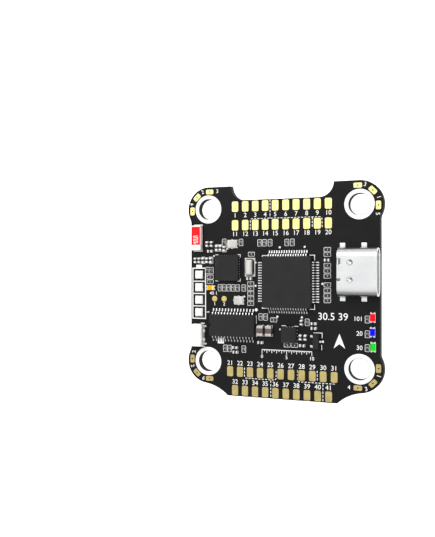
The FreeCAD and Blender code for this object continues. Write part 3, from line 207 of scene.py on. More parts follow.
def make_materials():
    # solder mask: black, satin, with the copper pours just showing through
    t = Tree("solder_mask")
    fine = t.noise(5200, 4.0, 0.65)
    pour = t.noise(150, 1.5, 0.4, None, 1.7)
    mott = t.noise(900, 3.0, 0.6, None, 5.0)
    dark, mid = srgb(19, 19, 20), srgb(23, 23, 24)
    c1 = t.ramp(pour, [(0.44, dark), (0.5, mid), (0.56, mid)])
    c2 = t.ramp(mott, [(0.35, shade(dark, 0.94)), (0.65, shade(mid, 1.08))])
    t.set(Base_Color=t.mix(0.45, c1, c2), Roughness=t.mapr(mott, 0.3, 0.7, 0.42, 0.55))
    t.p.inputs["Specular IOR Level"].default_value = 0.13
    h = t.math("ADD", t.math("MULTIPLY", fine, 0.5), t.mapr(pour, 0.48, 0.52, 0.0, 0.3))
    t.link(t.bump(h, 0.0000025), t.p.inputs["Normal"])

    # cut edge of the laminate: resin with layers of glass cloth
    t = Tree("laminate_edge")
    layer = t.node("ShaderNodeTexWave", wave_type="BANDS", bands_direction="Z")
    layer.inputs["Scale"].default_value = 900
    layer.inputs["Distortion"].default_value = 1.6
    layer.inputs["Detail"].default_value = 2.0
    layer.inputs["Detail Scale"].default_value = 3.0
    t.link(t.tc.outputs["Object"], layer.inputs["Vector"])
    rough = t.noise(4200, 4.0, 0.7, (1, 1, 0.35))
    col = t.ramp(layer.outputs["Fac"], [(0.0, srgb(34, 34, 34)), (0.5, srgb(48, 48, 47)), (1.0, srgb(62, 61, 59))])
    t.set(Base_Color=t.mix(0.4, col, t.ramp(rough, [(0.3, srgb(33, 33, 33)), (0.7, srgb(64, 63, 61))])),
          Roughness=t.mapr(rough, 0.3, 0.7, 0.62, 0.8))
    t.p.inputs["Specular IOR Level"].default_value = 0.06
    t.link(t.bump(t.math("ADD", rough, t.math("MULTIPLY", layer.outputs["Fac"], 0.4)), 0.000012), t.p.inputs["Normal"])

    # printed ink
    t = speckled("white_ink", srgb(246, 246, 244), (0.55, 0.75), 5200, 0.05, 0.000002, spec=0.25)

    # gold plated pads: pale gold, soft orange peel
    t = Tree("gold_pad")
    fine = t.noise(5200, 4.0, 0.6)
    broad = t.noise(700, 2.0, 0.5, None, 2.0)
    col = t.ramp(broad, [(0.3, srgb(246, 232, 146)), (0.5, srgb(250, 238, 156)), (0.7, srgb(252, 243, 170))])
    t.set(Base_Color=col, Metallic=0.9, Roughness=t.mapr(fine, 0.3, 0.7, 0.34, 0.46))
    t.link(t.bump(fine, 0.0000015), t.p.inputs["Normal"])

    # the same plating in a darker tan for the rear pads: painted shade
    t = Tree("tan_pad")
    fine = t.noise(5200, 4.0, 0.6)
    broad = t.noise(700, 2.0, 0.5, None, 2.0)
    col = t.ramp(broad, [(0.3, srgb(186, 168, 110)), (0.5, srgb(194, 177, 116)), (0.7, srgb(202, 186, 126))])
    t.set(Base_Color=col, Metallic=0.9, Roughness=t.mapr(fine, 0.3, 0.7, 0.36, 0.5))
    t.link(t.bump(fine, 0.0000015), t.p.inputs["Normal"])

    # drawn and plated steel: fine lengthwise brushing and rolled waviness
    t = Tree("plated_steel")
    brush = t.noise(2600, 4.0, 0.6, (0.06, 1.0, 1.0))
    broad = t.noise(260, 2.0, 0.5, None, 2.0)
    col = t.ramp(broad, [(0.3, srgb(219, 220, 221)), (0.7, srgb(229, 230, 230))])
    # painted shade: the base colour darkens with the way a face turns, darkest where the section bends over and more on
    # faces towards -Y than +Y; faces towards X take a flat light grey
    sep = t.node("ShaderNodeSeparateXYZ")
    t.link(t.tc.outputs["Normal"], sep.inputs[0])
    side = t.ramp(t.math("ABSOLUTE", sep.outputs[2]), [(0.0, (0.62, 0.62, 0.62, 1)), (0.45, (0.30, 0.30, 0.31, 1)), (0.8, (0.42, 0.42, 0.43, 1)),
                                                       (0.93, (0.86, 0.86, 0.87, 1)), (0.99, (1, 1, 1, 1))])
    front = t.mapr(t.math("ABSOLUTE", sep.outputs[0]), 0.2, 0.6, 0.0, 1.0)
    rear = t.mapr(sep.outputs[1], -0.35, 0.35, 1.0, 0.42)
    both = t.mix(front, t.mix(rear, (1, 1, 1, 1), side), (0.9, 0.9, 0.9, 1))
    t.set(Base_Color=t.mix(1.0, col, both, "MULTIPLY"), Metallic=1.0, Roughness=t.mapr(brush, 0.3, 0.7, 0.26, 0.38))
    t.link(t.bump(brush, 0.0000008), t.p.inputs["Normal"])

    speckled("tin", srgb(238, 239, 240), (0.24, 0.4), 2600, 0.05, 0.0000015, metal=0.95, big=800)
    t = Tree("solder")
    fine = t.noise(1800, 3.0, 0.55)
    frost = t.noise(5200, 4.0, 0.7, None, 4.0)
    t.set(Base_Color=t.ramp(fine, [(0.3, srgb(224, 225, 227)), (0.7, srgb(242, 243, 243))]), Metallic=0.9,
          Roughness=t.mapr(frost, 0.3, 0.7, 0.26, 0.5))
    t.link(t.bump(t.math("ADD", fine, t.math("MULTIPLY", frost, 0.3)), 0.0000025), t.p.inputs["Normal"])

    # moulded epoxy: matt charcoal with fine sparkle of the filler
    t = Tree("epoxy")
    fine = t.noise(6500, 4.0, 0.7)
    cell = t.voronoi(5200)
    broad = t.noise(420, 2.0, 0.5, None, 7.0)
    col = t.ramp(t.math("ADD", t.math("MULTIPLY", fine, 0.6), t.math("MULTIPLY", broad, 0.4)),
                 [(0.34, srgb(30, 30, 31)), (0.5, srgb(34, 34, 35)), (0.66, srgb(38, 38, 39))])
    t.set(Base_Color=col, Roughness=t.mapr(fine, 0.3, 0.7, 0.52, 0.68))
    t.p.inputs["Specular IOR Level"].default_value = 0.2
    t.link(t.bump(t.math("ADD", fine, t.math("MULTIPLY", cell, 0.6)), 0.0000035), t.p.inputs["Normal"])

    # dark epoxy of the small moulds; on the USB shell the same colour stands as painted shade on the roof
    t = Tree("dark_epoxy")
    fine = t.noise(6500, 4.0, 0.7)
    broad = t.noise(420, 2.0, 0.5, None, 7.0)
    col = t.ramp(t.math("ADD", t.math("MULTIPLY", fine, 0.6), t.math("MULTIPLY", broad, 0.4)),
                 [(0.34, srgb(28, 28, 29)), (0.66, srgb(36, 36, 37))])
    t.set(Base_Color=col, Roughness=t.mapr(fine, 0.3, 0.7, 0.46, 0.6))
    t.p.inputs["Specular IOR Level"].default_value = 0.2
    t.link(t.bump(fine, 0.000004), t.p.inputs["Normal"])

    # grey: the printed band on the diode, and the plates in the USB shell's rear notches, which are partly painted
    # shade
    speckled("grey_mark_and_notch_shade", srgb(120, 120, 121), (0.6, 0.8), 5200, 0.18, 0.000003, spec=0.2)
    speckled("black_nylon", srgb(30, 30, 31), (0.4, 0.56), 2400, 0.12, 0.000003)
    speckled("natural_nylon", srgb(232, 226, 206), (0.42, 0.56), 2400, 0.03, 0.000003, sub=0.25)
    speckled("white_nylon", srgb(244, 243, 239), (0.4, 0.52), 2400, 0.02, 0.000003, sub=0.2)
    speckled("lamp_white", srgb(252, 252, 250), (0.25, 0.36), 2600, 0.02, 0.0000015, sub=0.3, emit=0.10)
    speckled("lamp_red", srgb(232, 2, 36), (0.3, 0.42), 2200, 0.08, 0.0000015, spec=0.12, emit=0.12)
    speckled("lamp_blue", srgb(0, 0, 222), (0.3, 0.42), 2200, 0.08, 0.0000015, spec=0.12, emit=0.15)
    speckled("lamp_green", srgb(0, 200, 20), (0.3, 0.42), 2200, 0.08, 0.0000015, spec=0.12, emit=0.10)
    speckled("lamp_orange", srgb(240, 168, 8), (0.3, 0.42), 2200, 0.08, 0.0000015, spec=0.12, emit=0.06)
    speckled("red_glaze", srgb(232, 10, 20), (0.2, 0.32), 1500, 0.05, 0.0000015, spec=0.25, big=500)
    t = speckled("lead_tin", srgb(238, 239, 240), (0.24, 0.4), 2600, 0.05, 0.0000015, metal=0.95, big=800)
    # painted shade: faces of the leads turned towards -Y take a dark base colour, the others a light one
    sep = t.node("ShaderNodeSeparateXYZ")
    t.link(t.tc.outputs["Normal"], sep.inputs[0])
    rear_facing_shade_mask = t.mapr(sep.outputs[1], -0.5, -0.12, 0.0, 1.0)
    painted_shade_tone = t.mix(rear_facing_shade_mask, (0.10, 0.10, 0.105, 1), (0.86, 0.865, 0.87, 1))
    t.set(Base_Color=painted_shade_tone)
    # a darker copy of the lead tin for the rear rows of leads: painted shade
    speckled("lead_tin_painted_shade", srgb(184, 185, 187), (0.3, 0.45), 2600, 0.07, 0.0000015, metal=0.9, big=800)
    speckled("test_gold", srgb(206, 184, 108), (0.28, 0.42), 2600, 0.06, 0.0000015, metal=0.35, big=700)
    # dark grey tin: the resistors' ends and their solder, and the darker copy of the solder under the rear rows of
    # leads, which is painted shade
    speckled("dark_tin", srgb(74, 74, 76), (0.4, 0.55), 2600, 0.12, 0.0000015, metal=0.8, big=800)
    speckled("silver_paste", srgb(238, 234, 230), (0.3, 0.45), 2600, 0.05, 0.0000015, metal=0.4)
    speckled("pink_side", srgb(246, 214, 212), (0.3, 0.45), 1800, 0.05, 0.000002)
    speckled("amber_end", srgb(252, 222, 128), (0.25, 0.4), 1800, 0.05, 0.000002)
    speckled("antenna_end", srgb(236, 232, 226), (0.28, 0.45), 1800, 0.05, 0.000004, metal=0.55)
    speckled("cap_tin", srgb(192, 190, 187), (0.3, 0.45), 2600, 0.07, 0.0000015, metal=0.9, big=800)
    speckled("tan_ceramic", srgb(90, 75, 65), (0.32, 0.48), 2600, 0.12, 0.000003, big=900)
    speckled("brown_ceramic", srgb(88, 74, 64), (0.35, 0.5), 2600, 0.12, 0.000003, big=900)
    speckled("dark_ceramic", srgb(64, 63, 62), (0.45, 0.6), 2600, 0.08, 0.000003)
    # dark glaze of the resistor tops; also the disc of painted shade in the vias of the strip pads
    speckled("dark_glaze", srgb(30, 30, 33), (0.2, 0.34), 2600, 0.14, 0.000002)
    speckled("alumina", srgb(226, 224, 216), (0.5, 0.65), 3200, 0.05, 0.000004)
    speckled("pale_ceramic", srgb(205, 200, 192), (0.42, 0.58), 2600, 0.06, 0.000004)
    speckled("iron_powder", srgb(62, 62, 64), (0.5, 0.7), 1900, 0.22, 0.00001, big=700)

    # lids of the crystals: plated metal, soft brushing
    t = Tree("lid_metal")
    brush = t.noise(2200, 4.0, 0.6, (1.0, 0.08, 1.0))
    t.set(Base_Color=t.ramp(brush, [(0.3, srgb(194, 191, 186)), (0.7, srgb(214, 211, 206))]), Metallic=0.85,
          Roughness=t.mapr(brush, 0.3, 0.7, 0.3, 0.46))
    t.link(t.bump(brush, 0.000003), t.p.inputs["Normal"])

    # floor: pale, evenly lit
    t = Tree("floor")
    n = t.noise(60, 2.0, 0.5)
    t.set(Base_Color=t.ramp(n, [(0.3, srgb(249, 249, 249)), (0.7, srgb(253, 253, 253))]), Roughness=0.9)
    t.p.inputs["Specular IOR Level"].default_value = 0.0
    t.p.inputs["Emission Color"].default_value = (1, 1, 1, 1)
    t.p.inputs["Emission Strength"].default_value = 0.75


make_materials()


# =====================================================================
# mesh helpers, in millimetres
# =====================================================================
def P(x, y, z):
    return Vector((x * MM, y * MM, z * MM))


class Build:
    """Collects geometry for one piece. Sizes are in millimetres."""

    def __init__(self, name):
        self.name = name
        self.bm = bmesh.new()
        self.tagged = 0

    def tag(self, index):
        """Everything added since the last call takes material number index."""
        self.bm.faces.ensure_lookup_table()
        for i in range(self.tagged, len(self.bm.faces)):
            self.bm.faces[i].material_index = index
        self.tagged = len(self.bm.faces)

    # -- solids
    def prism(self, pts, z0, z1, top_pts=None):
        lo = [self.bm.verts.new(P(x, y, z0)) for x, y in pts]
        hi = [self.bm.verts.new(P(x, y, z1)) for x, y in (top_pts or pts)]
        n = len(pts)
        for i in range(n):
            self.bm.faces.new((lo[i], lo[(i + 1) % n], hi[(i + 1) % n], hi[i]))
        self.bm.faces.new(hi)
        self.bm.faces.new(lo[::-1])

    def loops(self, rings, cap=True):
        """rings: lists of 3-D points, the same count each, from low to high."""
        vs = [[self.bm.verts.new(P(*p)) for p in r] for r in rings]
        n = len(vs[0])
        for a, b in zip(vs, vs[1:]):
            for i in range(n):
                self.bm.faces.new((a[i], a[(i + 1) % n], b[(i + 1) % n], b[i]))
        if cap:
            self.bm.faces.new(vs[0][::-1])
            self.bm.faces.new(vs[-1])
        return vs

    def box(self, lo, hi):
        self.prism([(lo[0], lo[1]), (hi[0], lo[1]), (hi[0], hi[1]), (lo[0], hi[1])], lo[2], hi[2])

    def rbox(self, lo, hi, r=0.04, corner=None, seg=3, bottom=True):
        """A box with rounded upper (and lower) edges and rounded upright corners."""
        c = corner if corner is not None else r
        cx, cy = (lo[0] + hi[0]) / 2, (lo[1] + hi[1]) / 2
        w, d = (hi[0] - lo[0]) / 2, (hi[1] - lo[1]) / 2
        rings = []
        if bottom:
            for i in range(seg + 1):
                a = math.pi / 2 * i / seg
                rings.append((lo[2] + r * (1 - math.sin(a)), r * (1 - math.cos(a))))
            rings = [(lo[2] + r * (1 - math.cos(math.pi / 2 * i / seg)), r * (1 - math.sin(math.pi / 2 * i / seg)))
                     for i in range(seg + 1)]
        else:
            rings = [(lo[2], 0.0)]
        for i in range(seg + 1):
            a = math.pi / 2 * i / seg
            rings.append((hi[2] - r * (1 - math.sin(a)), r * (1 - math.cos(a))))
        self.loops([[(x, y, z) for x, y in rrect(cx, cy, w - k, d - k, max(c - k, 0.004), 3)] for z, k in rings])

    def strip(self, pts, width, z0, z1, closed=False):
        """A line of ink: a polyline with mitred corners."""
        n = len(pts)
        left, right = [], []
        for i in range(n):
            if closed:
                a, b, c = pts[i - 1], pts[i], pts[(i + 1) % n]
            else:
                a, b, c = pts[max(i - 1, 0)], pts[i], pts[min(i + 1, n - 1)]
            d0 = Vector((b[0] - a[0], b[1] - a[1]))
            d1 = Vector((c[0] - b[0], c[1] - b[1]))
            if d0.length < 1e-9:
                d0 = d1
            if d1.length < 1e-9:
                d1 = d0
            d0.normalize()
            d1.normalize()
            m = Vector((-(d0.y + d1.y), d0.x + d1.x))
            if m.length < 1e-6:
                m = Vector((-d0.y, d0.x))
            m.normalize()
            k = width / 2 / max(m.dot(Vector((-d0.y, d0.x))), 0.35)
            left.append((b[0] + m.x * k, b[1] + m.y * k))
            right.append((b[0] - m.x * k, b[1] - m.y * k))
        m = n if closed else n - 1
        vs = []
        for i in range(n):
            vs.append([self.bm.verts.new(P(*left[i], z0)), self.bm.verts.new(P(*right[i], z0)),
                       self.bm.verts.new(P(*right[i], z1)), self.bm.verts.new(P(*left[i], z1))])
        for i in range(m):
            a, b = vs[i], vs[(i + 1) % n]
            for j in range(4):
                self.bm.faces.new((a[j], b[j], b[(j + 1) % 4], a[(j + 1) % 4]))
        if not closed:
            self.bm.faces.new(vs[0])
            self.bm.faces.new(vs[-1][::-1])

    def ring(self, cx, cy, r0, r1, z0, z1, seg=64):
        vs = []
        for i in range(seg):
            a = 2 * math.pi * i / seg
            ca, sa = math.cos(a), math.sin(a)
            vs.append([self.bm.verts.new(P(cx + r * ca, cy + r * sa, z)) for r, z in ((r0, z0), (r1, z0), (r1, z1), (r0, z1))])
        for i in range(seg):
            a, b = vs[i], vs[(i + 1) % seg]
            for j in range(4):
                self.bm.faces.new((a[j], b[j], b[(j + 1) % 4], a[(j + 1) % 4]))

    def disc(self, cx, cy, r, z0, z1, seg=32, taper=0.0):
        pts = [(cx + r * math.cos(2 * math.pi * i / seg), cy + r * math.sin(2 * math.pi * i / seg)) for i in range(seg)]
        tops = [(cx + (r - taper) * math.cos(2 * math.pi * i / seg), cy + (r - taper) * math.sin(2 * math.pi * i / seg))
                for i in range(seg)]
        self.prism(pts, z0, z1, tops)

    def done(self, material, body="board", replaces=(), slot=None, smooth=35, bevel=0.0, bevel_seg=2, under=False):
        bmesh.ops.recalc_face_normals(self.bm, faces=self.bm.faces)
        me = bpy.data.meshes.new(self.name)
        self.bm.to_mesh(me)
        self.bm.free()
        o = bpy.data.objects.new(self.name, me)
        COL.objects.link(o)
        finish_piece(o, material, body, replaces, smooth, bevel, bevel_seg)
        return o


def finish_piece(o, material, body="board", replaces=(), smooth=35, bevel=0.0, bevel_seg=2):
    if len(o.data.materials):
        o.data.materials.clear()
    for m in (material if isinstance(material, (list, tuple)) else [material]):
        o.data.materials.append(MATS[m])
    if bevel:
        soften(o, bevel, bevel_seg)
    if smooth:
        smooth_by_angle(o, smooth)
        even(o)
    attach(o, body)
    if replaces:
        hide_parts(*replaces)


def smooth_by_angle(o, angle):
    """Smooth shading with sharp edges marked where faces turn by more than angle."""
    me = o.data
    bm = bmesh.new()
    bm.from_mesh(me)
    lim = math.radians(angle)
    for f in bm.faces:
        f.smooth = True
    for e in bm.edges:
        if len(e.link_faces) == 2:
            e.smooth = e.calc_face_angle(0.0) < lim
        else:
            e.smooth = False
    bm.to_mesh(me)
    bm.free()


def even(o):
    """Normals weighted by face area, so flat faces stay flat beside rounded edges."""
    w = o.modifiers.new("even", "WEIGHTED_NORMAL")
    w.mode = "FACE_AREA"
    w.weight = 60
    w.keep_sharp = True


def soften(o, width, seg=2, angle=40):
    b = o.modifiers.new("edge", "BEVEL")
    b.width = width * MM
    b.segments = seg
    b.limit_method = "ANGLE"
    b.angle_limit = math.radians(angle)
    b.harden_normals = False
    b.use_clamp_overlap = True


def rrect(cx, cy, w, d, r, seg=4):
    """Points of a rounded rectangle, half sizes w and d."""
    r = min(r, w * 0.98, d * 0.98)
    pts = []
    for qx, qy, a0 in ((1, -1, -90), (1, 1, 0), (-1, 1, 90), (-1, -1, 180)):
        for i in range(seg + 1):
            a = math.radians(a0 + 90 * i / seg)
            pts.append((cx + qx * (w - r) + r * math.cos(a), cy + qy * (d - r) + r * math.sin(a)))
    return pts


def arc_pts(cx, cy, r, a0, a1, n):
    return [(cx + r * math.cos(math.radians(a0 + (a1 - a0) * i / n)), cy + r * math.sin(math.radians(a0 + (a1 - a0) * i / n)))
            for i in range(n + 1)]


def islands(node):
    """The separate solids of a CAD node: (lowest, highest) corner of each, in mm."""
    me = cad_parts[node].data
    bm = bmesh.new()
    bm.from_mesh(me)
    bmesh.ops.remove_doubles(bm, verts=bm.verts, dist=1e-7)
    seen, out = set(), []
    bm.verts.ensure_lookup_table()
    for v in bm.verts:
        if v.index in seen:
            continue
        stack, grp = [v], []
        seen.add(v.index)
        while stack:
            q = stack.pop()
            grp.append(q.co.copy())
            for e in q.link_edges:
                w = e.other_vert(q)
                if w.index not in seen:
                    seen.add(w.index)
                    stack.append(w)
        lo = [min(c[i] for c in grp) / MM for i in range(3)]
        hi = [max(c[i] for c in grp) / MM for i in range(3)]
        out.append((lo, hi))
    bm.free()
    return out


def dress(node, material, bevel=0.0, smooth=35, seg=2):
    """A CAD node that stays: it gets its finish and softened edges."""
    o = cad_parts[node]
    o.data.materials.clear()
    o.data.materials.append(MATS[material])
    if bevel:
        w = o.modifiers.new("join", "WELD")
        w.merge_threshold = 1e-7
        d = o.modifiers.new("flat", "DECIMATE")
        d.decimate_type = "DISSOLVE"
        d.angle_limit = math.radians(1.0)
        b = o.modifiers.new("edge", "BEVEL")
        b.width = bevel * MM
        b.segments = seg
        b.limit_method = "ANGLE"
        b.angle_limit = math.radians(30)
        for p in o.data.polygons:
            p.use_smooth = True
        even(o)
    return o


def text_mesh(name, words, material="white_ink", z0=T - 0.002, z1=T + 0.014, body="board"):
    """Printed figures. words: (text, x, y, height, turn, stretch)."""
    bm = bmesh.new()
    for word in words:
        txt, x, y, high, turn = word[:5]
        wide = word[5] if len(word) > 5 else 1.0
        cu = bpy.data.curves.new("figures", "FONT")
        cu.body = txt
        cu.size = high / 0.73 * MM
        cu.align_x = "CENTER"
        cu.align_y = "CENTER"
        cu.resolution_u = 3
        cu.extrude = (z1 - z0) / 2 * MM
        cu.offset = 0.004 * MM
        o = bpy.data.objects.new("figures", cu)
        COL.objects.link(o)
        bpy.context.view_layer.update()
        me = bpy.data.meshes.new_from_object(o.evaluated_get(bpy.context.evaluated_depsgraph_get()))
        me.transform(Matrix.Translation(P(x, y, (z0 + z1) / 2)) @ Matrix.Rotation(math.radians(turn), 4, "Z")
                     @ Matrix.Diagonal((wide, 1, 1, 1)))
        bm.from_mesh(me)
        bpy.data.objects.remove(o)
        bpy.data.meshes.remove(me)
        bpy.data.curves.remove(cu)
    me = bpy.data.meshes.new(name)
    bm.to_mesh(me)
    bm.free()
    o = bpy.data.objects.new(name, me)
    COL.objects.link(o)
    finish_piece(o, material, body, smooth=0)
    return o


# =====================================================================
# the bare board
# =====================================================================
HALF, EAR, SIDE, BLEND = 15.25, 4.45, 19.05, 2.0
NH, NR, TABX, TABY, TABR = 10.4, 2.85, 11.05, -21.9, 8.5


def board_outline():
    top = HALF + EAR
    ux = SIDE + BLEND - HALF
    uy = math.sqrt((BLEND + EAR) ** 2 - ux ** 2)
    cx, cy = SIDE + BLEND, HALF - uy
    touch = math.degrees(math.atan2(-uy, ux))
    dx, dy = TABX - HALF, TABY + HALF
    gap = math.hypot(dx, dy)
    along = ((EAR + TABR) ** 2 - TABR ** 2 + gap ** 2) / (2 * gap)
    off = math.sqrt((EAR + TABR) ** 2 - along ** 2)
    best = None
    for s in (1, -1):
        px, py = HALF + along * dx / gap - s * off * dy / gap, -HALF + along * dy / gap + s * off * dx / gap
        if best is None or py < best[1]:
            best = (px, py)
    tc = best
    ear_end = math.degrees(math.atan2(tc[1] + HALF, tc[0] - HALF))
    a0 = math.degrees(math.atan2(-HALF - tc[1], HALF - tc[0]))
    a1 = math.degrees(math.atan2(TABY - tc[1], TABX - tc[0]))
    r = []
    r += arc_pts(NH - NR, top, NR, 270, 360, 14)
    r += arc_pts(HALF, HALF, EAR, 90, touch, 40)
    r += arc_pts(cx, cy, BLEND, 180 + touch, 180, 10)[1:]
    r += arc_pts(cx, -cy, BLEND, 180, 180 - touch, 10)
    r += arc_pts(HALF, -HALF, EAR, -touch, ear_end, 34)[1:]
    r += arc_pts(tc[0], tc[1], TABR, a0, a1, 18)[1:]
    left = [(-x, y) for x, y in reversed(r)]
    pts = r + left
    out = []
    for p in pts:
        if not out or math.hypot(p[0] - out[-1][0], p[1] - out[-1][1]) > 1e-5:
            out.append(p)
    return out


def offset_loop(pts, d):
    """Moves a closed loop inwards by d (the loop's own turning sense decides inside)."""
    n = len(pts)
    area = sum(pts[i][0] * pts[(i + 1) % n][1] - pts[(i + 1) % n][0] * pts[i][1] for i in range(n))
    s = 1 if area > 0 else -1
    out = []
    for i in range(n):
        a, b, c = pts[i - 1], pts[i], pts[(i + 1) % n]
        d0 = Vector((b[0] - a[0], b[1] - a[1])).normalized()
        d1 = Vector((c[0] - b[0], c[1] - b[1])).normalized()
        m = Vector((-(d0.y + d1.y), d0.x + d1.x))
        m.normalize()
        k = d / max(m.dot(Vector((-d0.y, d0.x))), 0.5)
        out.append((b[0] + s * m.x * k, b[1] + s * m.y * k))
    return out


def make_board():
    bm = bmesh.new()
    outer = board_outline()
    holes = [[(sx * HALF + 2.0 * math.cos(2 * math.pi * i / 64), sy * HALF + 2.0 * math.sin(2 * math.pi * i / 64))
              for i in range(64)] for sx in (1, -1) for sy in (1, -1)]
    e = 0.05
    levels = [(0.0, e), (e * 0.35, e * 0.35), (e, 0.0), (T - e, 0.0), (T - e * 0.35, e * 0.35), (T, e)]
    top_edges, low_edges = [], []
    for loop, sign in [(outer, 1)] + [(h, -1) for h in holes]:
        rings = []
        for z, k in levels:
            pts = offset_loop(loop, k * sign)
            rings.append([bm.verts.new(P(x, y, z)) for x, y in pts])
        n = len(loop)
        for a, b in zip(rings, rings[1:]):
            for i in range(n):
                bm.faces.new((a[i], a[(i + 1) % n], b[(i + 1) % n], b[i]))
        bm.edges.ensure_lookup_table()
        for i in range(n):
            top_edges.append(bm.edges.get((rings[-1][i], rings[-1][(i + 1) % n])))
            low_edges.append(bm.edges.get((rings[0][i], rings[0][(i + 1) % n])))
    bmesh.ops.triangle_fill(bm, use_beauty=True, use_dissolve=False, edges=top_edges)
    bmesh.ops.triangle_fill(bm, use_beauty=True, use_dissolve=False, edges=low_edges)
    bmesh.ops.recalc_face_normals(bm, faces=bm.faces)
    for f in bm.faces:
        f.material_index = 0 if abs(f.normal.z) > 0.9 else 1
    me = bpy.data.meshes.new("bare_board")
    bm.to_mesh(me)
    bm.free()
    o = bpy.data.objects.new("bare_board", me)
    COL.objects.link(o)
    finish_piece(o, ["solder_mask", "laminate_edge"], "board", ("pcb",), smooth=30)
    return o


make_board()

# =====================================================================
# printed ink on the component side
# =====================================================================
Z0, Z1 = T - 0.002, T + 0.014
ink = Build("ink_lines")
for sx in (1, -1):
    for sy in (1, -1):
        ink.ring(sx * HALF, sy * HALF, 2.07, 2.82, Z0, Z1, 96)


def dashes(path, dash=0.42, gap=0.26, width=0.13):
    """A dashed line along a polyline."""
    pos, on, need = 0.0, True, dash
    cur = [path[0]]
    for a, b in zip(path, path[1:]):
        seg = math.hypot(b[0] - a[0], b[1] - a[1])
        at = 0.0
        while seg - at > need:
            at += need
            p = (a[0] + (b[0] - a[0]) * at / seg, a[1] + (b[1] - a[1]) * at / seg)
            if on:
                cur.append(p)
                ink.strip(cur, width, Z0, Z1)
            cur = [p]
            on = not on
            need = dash if on else gap
        need -= seg - at
        if on:
            cur.append(b)
    if on and len(cur) > 1 and math.hypot(cur[0][0] - cur[-1][0], cur[0][1] - cur[-1][1]) > 0.08:
        ink.strip(cur, width, Z0, Z1)


dashes([(-6.22, 11.0), (-6.22, 12.7)] + arc_pts(-5.8, 12.7, 0.42, 180, 90, 4)[1:] + [(7.75, 13.12)]
       + arc_pts(7.75, 12.7, 0.42, 90, 0, 4)[1:] + [(8.2, 11.0)])
dashes([(-2.15, 16.75), (-2.15, 13.2)])
dashes([(6.3, 13.05), (6.3, 11.0)])
dashes([(-7.45, -16.2), (-7.45, -17.8)] + arc_pts(-7.0, -17.8, 0.45, 180, 270, 4)[1:] + [(-1.35, -18.25)]
       + arc_pts(-1.35, -17.8, 0.45, -90, 0, 4)[1:] + [(-0.9, -16.2)])
dashes([(3.4, -16.1), (3.4, -17.85)] + arc_pts(3.85, -17.85, 0.45, 180, 270, 4)[1:] + [(10.6, -18.3)])
dashes([(7.25, -16.0), (7.25, -18.1)])
dashes([(-2.0, -18.4), (-2.0, -21.8)])
dashes([(8.35, -18.5), (8.35, -21.8)])


def frame_box(x0, y0, x1, y1, w=0.13):
    ink.strip([(x0, y0), (x1, y0), (x1, y1), (x0, y1)], w, Z0, Z1, closed=True)


# battery gauge
frame_box(-18.68, -6.72, -15.86, 3.42, 0.2)
for y in (0.78, -1.7, -4.22):
    ink.strip([(-18.68, y), (-15.86, y)], 0.18, Z0, Z1)
ink.prism([(-17.9, 3.5), (-16.65, 3.5), (-16.65, 4.1), (-17.9, 4.1)], Z0, Z1)
# corner brackets
for x0, y0, x1, y1, l, w in ((-3.75, -4.4, 6.75, 5.87, 1.0, 0.14), (-13.6, 0.85, -8.35, 6.1, 0.55, 0.13)):
    for cx, cy, dx, dy in ((x0, y0, 1, 1), (x1, y0, -1, 1), (x1, y1, -1, -1), (x0, y1, 1, -1)):
        ink.strip([(cx + dx * l, cy), (cx, cy), (cx, cy + dy * l)], w, Z0, Z1)
frame_box(-7.3, 1.85, -5.3, 5.35)
ink.strip([(-4.98, -5.85), (-4.98, -7.5)], 0.12, Z0, Z1)
ink.strip([(-4.97, -8.2), (-4.97, -10.0)], 0.12, Z0, Z1)
ink.strip([(-16.9, -7.68), (-16.0, -7.68)], 0.13, Z0, Z1)
ink.strip([(-16.9, -12.38), (-16.0, -12.38)], 0.13, Z0, Z1)
ink.prism([(-13.18, -11.62), (-11.83, -11.62), (-11.83, -10.45), (-13.18, -10.45)], Z0, Z1)
ink.strip([(0.2, -8.03 + 0.35), (1.1, -8.03 + 0.35)], 0.12, Z0, Z1)
ink.strip([(2.75, -8.07 + 0.35), (3.5, -8.07 + 0.35)], 0.12, Z0, Z1)
ink.strip([(6.5, -8.83), (8.2, -8.83), (8.2, -9.8)], 0.13, Z0, Z1)
ink.strip([(8.12, -11.05), (8.12, -12.05)], 0.13, Z0, Z1)
for x, y, r in ((-0.17, 7.45, 0.2), (4.8, 7.47, 0.2), (-5.15, -0.05, 0.2), (-0.65, -5.97, 0.2), (4.25, -5.98, 0.2),
                (8.25, 0.45, 0.2), (-5.0, -4.75, 0.3), (-14.0, 5.87, 0.17), (-0.12, -8.4, 0.16), (-11.1, 7.25, 0.14),
                (-5.1, 4.5, 0.16)):
    ink.disc(x, y, r, Z0, Z1, 24)
ink.prism([(-7.75, -2.3), (-7.25, -2.3), (-7.5, -1.9)], Z0, Z1)
ink.prism([(11.5, -8.85), (10.4, -11.6), (11.5, -10.75), (12.6, -11.6)][::-1], Z0, Z1)

UP = [(-4.3, 8.35), (-3.3, 8.35), (-2.15, 8.35), (1.25, 8.35), (2.35, 8.35), (-12.7, -0.5), (-11.75, -0.5),
      (-10.8, -0.5), (-9.85, -0.5), (-8.9, -0.5), (-7.6, -0.5), (-15.4, 2.95), (-14.55, 2.95), (-8.2, 8.5),
      (-11.8, 8.6), (-13.35, 7.45), (-12.55, 7.45), (-11.75, 7.3), (-4.05, -6.1), (-3.05, -6.1), (5.3, -6.9), (16.7, -6.05), (16.7, -8.75),
      (16.7, -11.3), (-11.55, -12.55), (-10.6, -12.55), (-7.6, -12.55), (-16.35, 5.0), (-14.65, 5.0)]
FLAT = [(9.2, y) for y in (6.9, 6.0, 3.9, 2.9, 1.9, 0.25, -0.8, -1.75, -2.7)] \
    + [(-6.15, y) for y in (0.35, -0.6, -1.55, -2.5, -3.5)] \
    + [(-6.0, 6.15), (-14.8, 1.65), (-14.8, 0.7), (-1.4, -6.6), (1.35, -11.35), (2.8, -11.35)]
